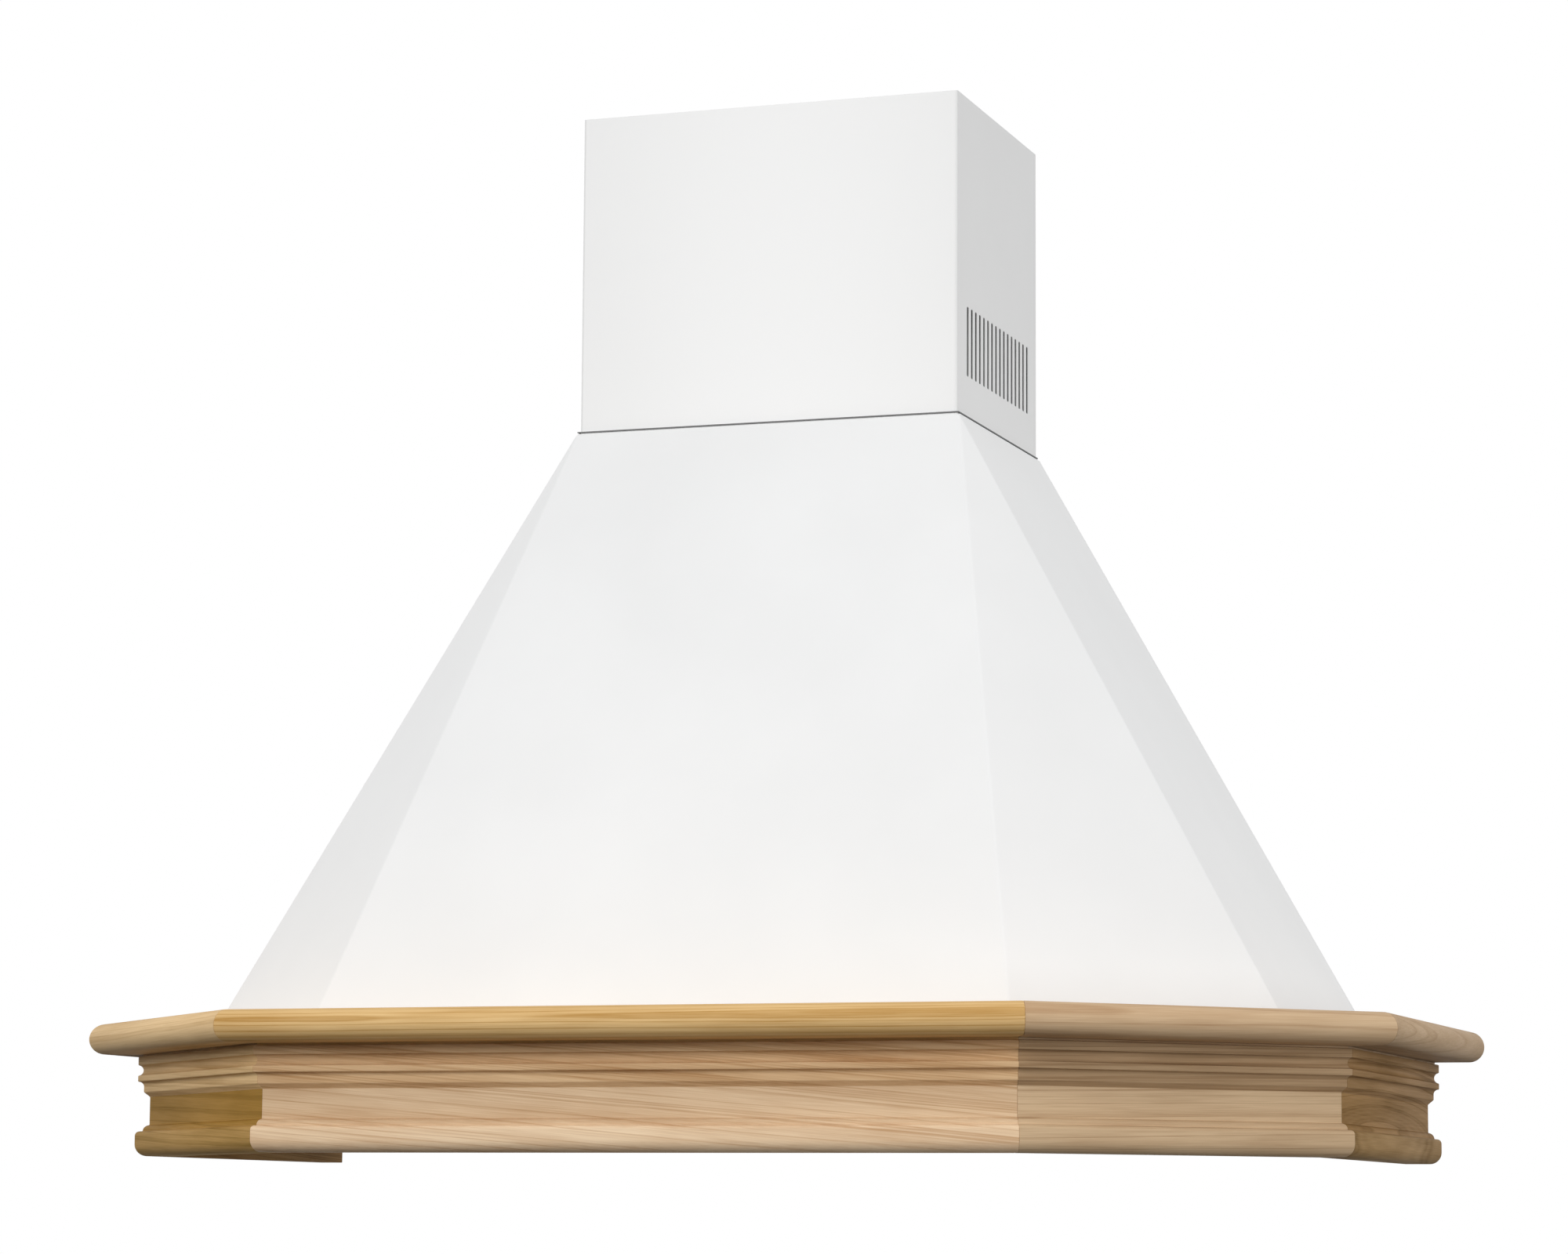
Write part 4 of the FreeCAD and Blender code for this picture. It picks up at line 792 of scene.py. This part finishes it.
# %% Aluminium
# Rolled sheet, left as it comes from the mill: a dull shine with fine lines across it.
ROLLING_WAVES = (2000, 60, 60)  # marks 0.5 mm apart and 17 mm long
aluminium, tree, shader, place = new_material("mill_finish_aluminium")
marks = drawn_noise(tree, place, ROLLING_WAVES, {"Detail": 3})
tone = add(tree, "ValToRGB", {"stops": ((0.3, "#b4b6b8"), (0.7, "#c9cacb"))}, Fac=marks)
lay_finish(tree, shader, tone.outputs["Color"], (marks, 0.28, 0.45))
shader.inputs["Metallic"].default_value = 1
print("metal:", aluminium.name)

# %% Expanded mesh
STRAND_INNER, STRAND_RISE, STRAND_THICK = 0.76, 0.4, 0.5
# Diamonds across and down, and the sheet's height in the pack in millimetres.
LOWER_SHEET, UPPER_SHEET = (20, 28, 0.5), (26, 22, 1.6)


def mesh_sheet(name, low, high, across, down, height):
    """One sheet of diamonds between two corners."""
    reach_x = (high.x - low.x) / across / 2
    reach_y = (high.y - low.y) / down / 2
    middle = (low.x + reach_x, low.y + reach_y, low.z + height * MM)
    clear_selection()
    bpy.ops.mesh.primitive_circle_add(vertices=4, radius=1, location=middle)
    sheet = bpy.context.object
    sheet.name = name
    sheet.scale = (reach_x, reach_y, 1)
    apply_place()
    edit(sheet, "EDGE", everything)
    bpy.ops.mesh.extrude_region_move()
    inner = (STRAND_INNER, STRAND_INNER, 1)
    bpy.ops.transform.resize(value=inner, center_override=middle)
    bpy.ops.transform.translate(value=(0, 0, STRAND_RISE * MM))
    leave_edit()
    finish_with(sheet, "SOLIDIFY", thickness=STRAND_THICK * MM, offset=0)
    repeat(sheet, across, (2 * reach_x, 0, 0))
    repeat(sheet, down, (0, 2 * reach_y, 0))
    return sheet


def join(piece, others):
    """Make other objects part of a piece."""
    select_only(piece)
    for other in others:
        other.select_set(True)
    bpy.ops.object.join()


for side in ("left", "right"):
    node = f"filter_mesh_{side}"
    low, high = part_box(node)
    lower = mesh_sheet(f"mesh_pack_{side}", low, high, *LOWER_SHEET)
    upper = mesh_sheet(f"mesh_upper_{side}", low, high, *UPPER_SHEET)
    join(lower, [upper])
    hand_over(lower, f"filter_{side}", node, aluminium)

# %% [markdown]
# ## Push buttons
# Five moulded caps stand in the switch bezel. One cap is a box with its pressing face
# inset and sunk a little as a seat for the finger, and all its edges rounded. Copies go
# to the other places. Raised dots tell the three speeds by touch.

# %% Moulded plastic
FLOW_MM, SMOOTHER, ROUGHER = 40, 0.06, 0.08


def moulded_plastic(name, pale, deep, roughness, grain_mm):
    """Injection moulded plastic: a fine spark eroded grain and slow changes of tone."""
    material, tree, shader, place = new_material(name)
    grain = add(tree, "TexNoise", {"Scale": per_metre(grain_mm), "Detail": 2}, Vector=place)
    flow = add(tree, "TexNoise", {"Scale": per_metre(FLOW_MM), "Detail": 2}, Vector=place)
    grain, flow = grain.outputs["Fac"], flow.outputs["Fac"]
    tone = add(tree, "ValToRGB", {"stops": ((0.3, deep), (0.7, pale))}, Fac=flow)
    rough = (grain, roughness - SMOOTHER, roughness + ROUGHER)
    lay_finish(tree, shader, tone.outputs["Color"], rough, (grain, 0.15, 0.05))
    shader.inputs["IOR"].default_value = 1.53
    return material


black_abs = moulded_plastic("moulded_black_abs", "#232323", "#1b1b1b", 0.5, 0.8)
button_abs = moulded_plastic("moulded_pale_grey_abs", "#d8d8d5", "#cfcfcc", 0.38, 0.6)
housing_pp = moulded_plastic("moulded_grey_polypropylene", "#8f9194", "#828487", 0.55, 1.2)
box_pc = moulded_plastic("moulded_light_grey_polycarbonate", "#c9c9c6", "#bfbfbc", 0.45, 1.0)
capacitor_pp = moulded_plastic("moulded_white_polypropylene", "#dcdbd6", "#d2d1cc", 0.3, 1.5)
print("plastics: 5")

# %% Button caps
CAP_RIM, CAP_SUNK, CAP_ROUND, FACES_DOWN = 1.5, 0.6, 0.6, -0.9
first_low, first_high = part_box("button_off")
caps = {"off": start_box("cap_off", first_low, first_high)}
edit(caps["off"], "FACE", lambda face: face.normal.z < FACES_DOWN)
bpy.ops.mesh.inset(thickness=CAP_RIM * MM)
bpy.ops.transform.translate(value=(0, 0, CAP_SUNK * MM))
leave_edit()
round_edges(caps["off"], CAP_ROUND, segments=3, above=15)
for use in ("low", "middle", "high", "light"):
    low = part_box(f"button_{use}")[0]
    caps[use] = copy_of(caps["off"], f"cap_{use}")
    caps[use].location = low - first_low
    apply_place()
print("caps:", len(caps))

# %% Touch dots
DOT_RADIUS, DOT_PITCH, DOT_LEVEL, DOT_FLATNESS = 0.8, 3, 0.7, 0.6


def touch_dot(place):
    """A flat dome."""
    clear_selection()
    round_shape = {"segments": 12, "ring_count": 8, "radius": DOT_RADIUS * MM}
    bpy.ops.mesh.primitive_uv_sphere_add(location=place, **round_shape)
    dot = bpy.context.object
    dot.scale = (1, 1, DOT_FLATNESS)
    apply_place()
    return dot


for use, count in (("low", 1), ("middle", 2), ("high", 3)):
    low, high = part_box(f"button_{use}")
    middle = (low + high) / 2
    row = [middle.x + (index - (count - 1) / 2) * DOT_PITCH * MM for index in range(count)]
    join(caps[use], [touch_dot((x, middle.y, low.z + DOT_LEVEL * MM)) for x in row])
for use, cap in caps.items():
    smooth(cap, degrees=40)
    hand_over(cap, f"button_{use}", f"button_{use}", button_abs)

# %% [markdown]
# ## Hidden sheet metal
# Back panel, strap and bearers are hot dip galvanised: the zinc freezes in flat crystals,
# which the eye sees as a patchwork of light and dull flakes. Cells of a Voronoi texture
# give each crystal its own tone and roughness. The panels underneath have grey powder
# coat with a fine pebbled skin.

# %% Galvanised steel
galvanised, tree, shader, place = new_material("hot_dip_galvanised_steel")
flakes = add(tree, "TexVoronoi", {"Scale": per_metre(9), "Randomness": 1}, Vector=place)
flake = add(tree, "RGBToBW", Color=flakes.outputs["Color"]).outputs[0]
tone = add(tree, "ValToRGB", {"stops": ((0.1, "#9ea3a6"), (0.9, "#c2c6c8"))}, Fac=flake)
lay_finish(tree, shader, tone.outputs["Color"], (flake, 0.34, 0.55))
shader.inputs["Metallic"].default_value = 0.9
print("metal:", galvanised.name)

# %% Grey powder coat
powder_coat, tree, shader, place = new_material("grey_polyester_powder_coat")
pebble = add(tree, "TexNoise", {"Scale": per_metre(1.2), "Detail": 2}, Vector=place)
shade = add(tree, "TexNoise", {"Scale": per_metre(70), "Detail": 3}, Vector=place)
pebble, shade = pebble.outputs["Fac"], shade.outputs["Fac"]
tone = add(tree, "ValToRGB", {"stops": ((0.3, "#c6c6c3"), (0.7, "#cdcdca"))}, Fac=shade)
lay_finish(tree, shader, tone.outputs["Color"], (pebble, 0.42, 0.58), (pebble, 0.2, 0.06))
shader.inputs["IOR"].default_value = 1.5
print("paint:", powder_coat.name)

# %% [markdown]
# ## Steel fittings
# The lamp frames are brushed stainless steel, whose fine scratches run along the frame.
# The lamp trays are pressed from zinc plated sheet, and screws and shafts are bright zinc
# plated steel. All three are one recipe with other tones and another gloss.

# %% Steels
SCRATCH_WAVES = (16, 2500, 2500)  # 62 mm long and 0.4 mm apart


def brushed_steel(name, pale, deep, least_rough, most_rough):
    """Brushed metal: long fine scratches that draw the gloss out across them."""
    material, tree, shader, place = new_material(name)
    scratch = drawn_noise(tree, place, SCRATCH_WAVES, {"Detail": 4})
    tone = add(tree, "ValToRGB", {"stops": ((0.3, deep), (0.7, pale))}, Fac=scratch)
    lay_finish(tree, shader, tone.outputs["Color"], (scratch, least_rough, most_rough))
    shader.inputs["Metallic"].default_value = 1
    return material


stainless = brushed_steel("brushed_stainless_steel", "#cfcfcd", "#b5b5b4", 0.22, 0.36)
pressed_steel = brushed_steel("pressed_zinc_plated_steel", "#bfc1c4", "#a3a6aa", 0.3, 0.46)
plated = brushed_steel("bright_zinc_plated_steel", "#c9ccd2", "#adb1b8", 0.2, 0.34)
print("steels: 3")

# %% [markdown]
# ## Lamp covers
# The covers are frosted acrylic with pressed ribs that spread the light. A cover is a
# plate with one rounded rib below it, which an Array repeats over the plate's length.

# %% Frosted acrylic
frosted, tree, shader, place = new_material("frosted_ribbed_acrylic")
frost = add(tree, "TexNoise", {"Scale": per_metre(0.7), "Detail": 2}, Vector=place)
frost = frost.outputs["Fac"]
tone = add(tree, "ValToRGB", {"stops": ((0.2, "#eff0ed"), (0.8, "#f6f7f4"))}, Fac=frost)
lay_finish(tree, shader, tone.outputs["Color"], (frost, 0.38, 0.55), (frost, 0.2, 0.05))
shader.inputs["IOR"].default_value = 1.49
print("plastic:", frosted.name)

# %% Ribbed covers
RIBS, RIB_HIGH, RIB_ROUND, RIB_SHARE = 37, 0.5, 0.45, 0.8
RIB_WITH_ROOT = 1.4 * RIB_HIGH
NEAR, RIB_LONG = 0.1, 10


def lower_long(rib, item, bottom):
    """Whether an edge is one of the two long ones along a rib's bottom."""
    at_bottom = all(p.z < bottom + NEAR * MM for p in edge_ends(rib, item))
    return at_bottom and edge_spans(rib, item).y > RIB_LONG * MM


for side in ("left", "right"):
    node = f"lamp_cover_{side}"
    low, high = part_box(node)
    cover = start_box(f"ribbed_cover_{side}", (low.x, low.y, low.z + RIB_HIGH * MM), high)
    pitch = (high.x - low.x) / RIBS
    gap = pitch * (1 - RIB_SHARE) / 2
    rib_low = (low.x + gap, low.y + RIB_HIGH * MM, low.z)
    rib_high = (low.x + pitch - gap, high.y - RIB_HIGH * MM, low.z + RIB_WITH_ROOT * MM)
    rib = start_box("rib", rib_low, rib_high)
    bevel_edges(rib, lambda e: lower_long(rib, e, low.z), RIB_ROUND, segments=3)
    repeat(rib, RIBS, (pitch, 0, 0))
    join(cover, [rib])
    smooth(cover, degrees=40)
    hand_over(cover, "hood", node, frosted)

# %% [markdown]
# ## Neck strip
# A thin strip of matt grey rubber closes the gap between the chimney and the canopy. Its grey
# is partly the rubber's own and partly painted shade: it stands for the shadow line in that
# gap. It is three sides of a low box, so that it shows as a fine line.

# %% Rubber
# The grey is partly the rubber's own and partly painted shade for the shadow line at the neck.
rubber, tree, shader, place = new_material("grey_rubber_and_painted_shadow_line")
dust = add(tree, "TexNoise", {"Scale": per_metre(1.5), "Detail": 3}, Vector=place)
tones = {"stops": ((0.3, "#808080"), (0.7, "#8b8b8b"))}
tone = add(tree, "ValToRGB", tones, Fac=dust.outputs["Fac"])
lay_finish(tree, shader, tone.outputs["Color"])
shader.inputs["Roughness"].default_value = 0.75
shader.inputs["IOR"].default_value = 1.52
print("rubber:", rubber.name)

# %% Neck strip
STRIP_HIGH, STRIP_DEEP = 0.7, 1.4
strip_low, strip_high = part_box("neck_seal")
strip_top = (strip_high.x, strip_high.y, strip_low.z + STRIP_HIGH * MM)
# This strip's grey also stands as painted shade for the shadow line in the gap at the neck.
strip = start_box("neck_strip", strip_low, strip_top)
open_up(strip)
wall = {"thickness": STRIP_DEEP * MM, "offset": -1, "use_even_offset": True}
finish_with(strip, "SOLIDIFY", **wall)
hand_over(strip, "hood", "neck_seal", rubber)

# %% [markdown]
# ## Finishes of the CAD nodes
# A node whose shape is right stays as it is and only gets its finish. The record names a
# material slot for every node, so one table from slot to material dresses all of them. The
# glue blocks behind the cornice are cut from the same wood as the shelf's left side.

# %% Finishes by slot
FINISHES = {
    "grey_paint": powder_coat,
    "galvanised_steel": galvanised,
    "dark_seal": rubber,
    "filter_aluminium": aluminium,
    "black_plastic": black_abs,
    "housing_plastic": housing_pp,
    "box_plastic": box_pc,
    "lamp_frame_steel": stainless,
    "lamp_diffuser": frosted,
    "lamp_tray_steel": pressed_steel,
    "bright_steel": plated,
    "capacitor_can": capacitor_pp,
}
dressed = 0
for node, slot in record_slots.items():
    material = WOODS["shelf_side_left"] if node == "corner_blocks" else FINISHES.get(slot)
    if material:
        nodes[node].material_slots[0].material = material
        dressed += 1
print("CAD nodes with a new finish:", dressed)
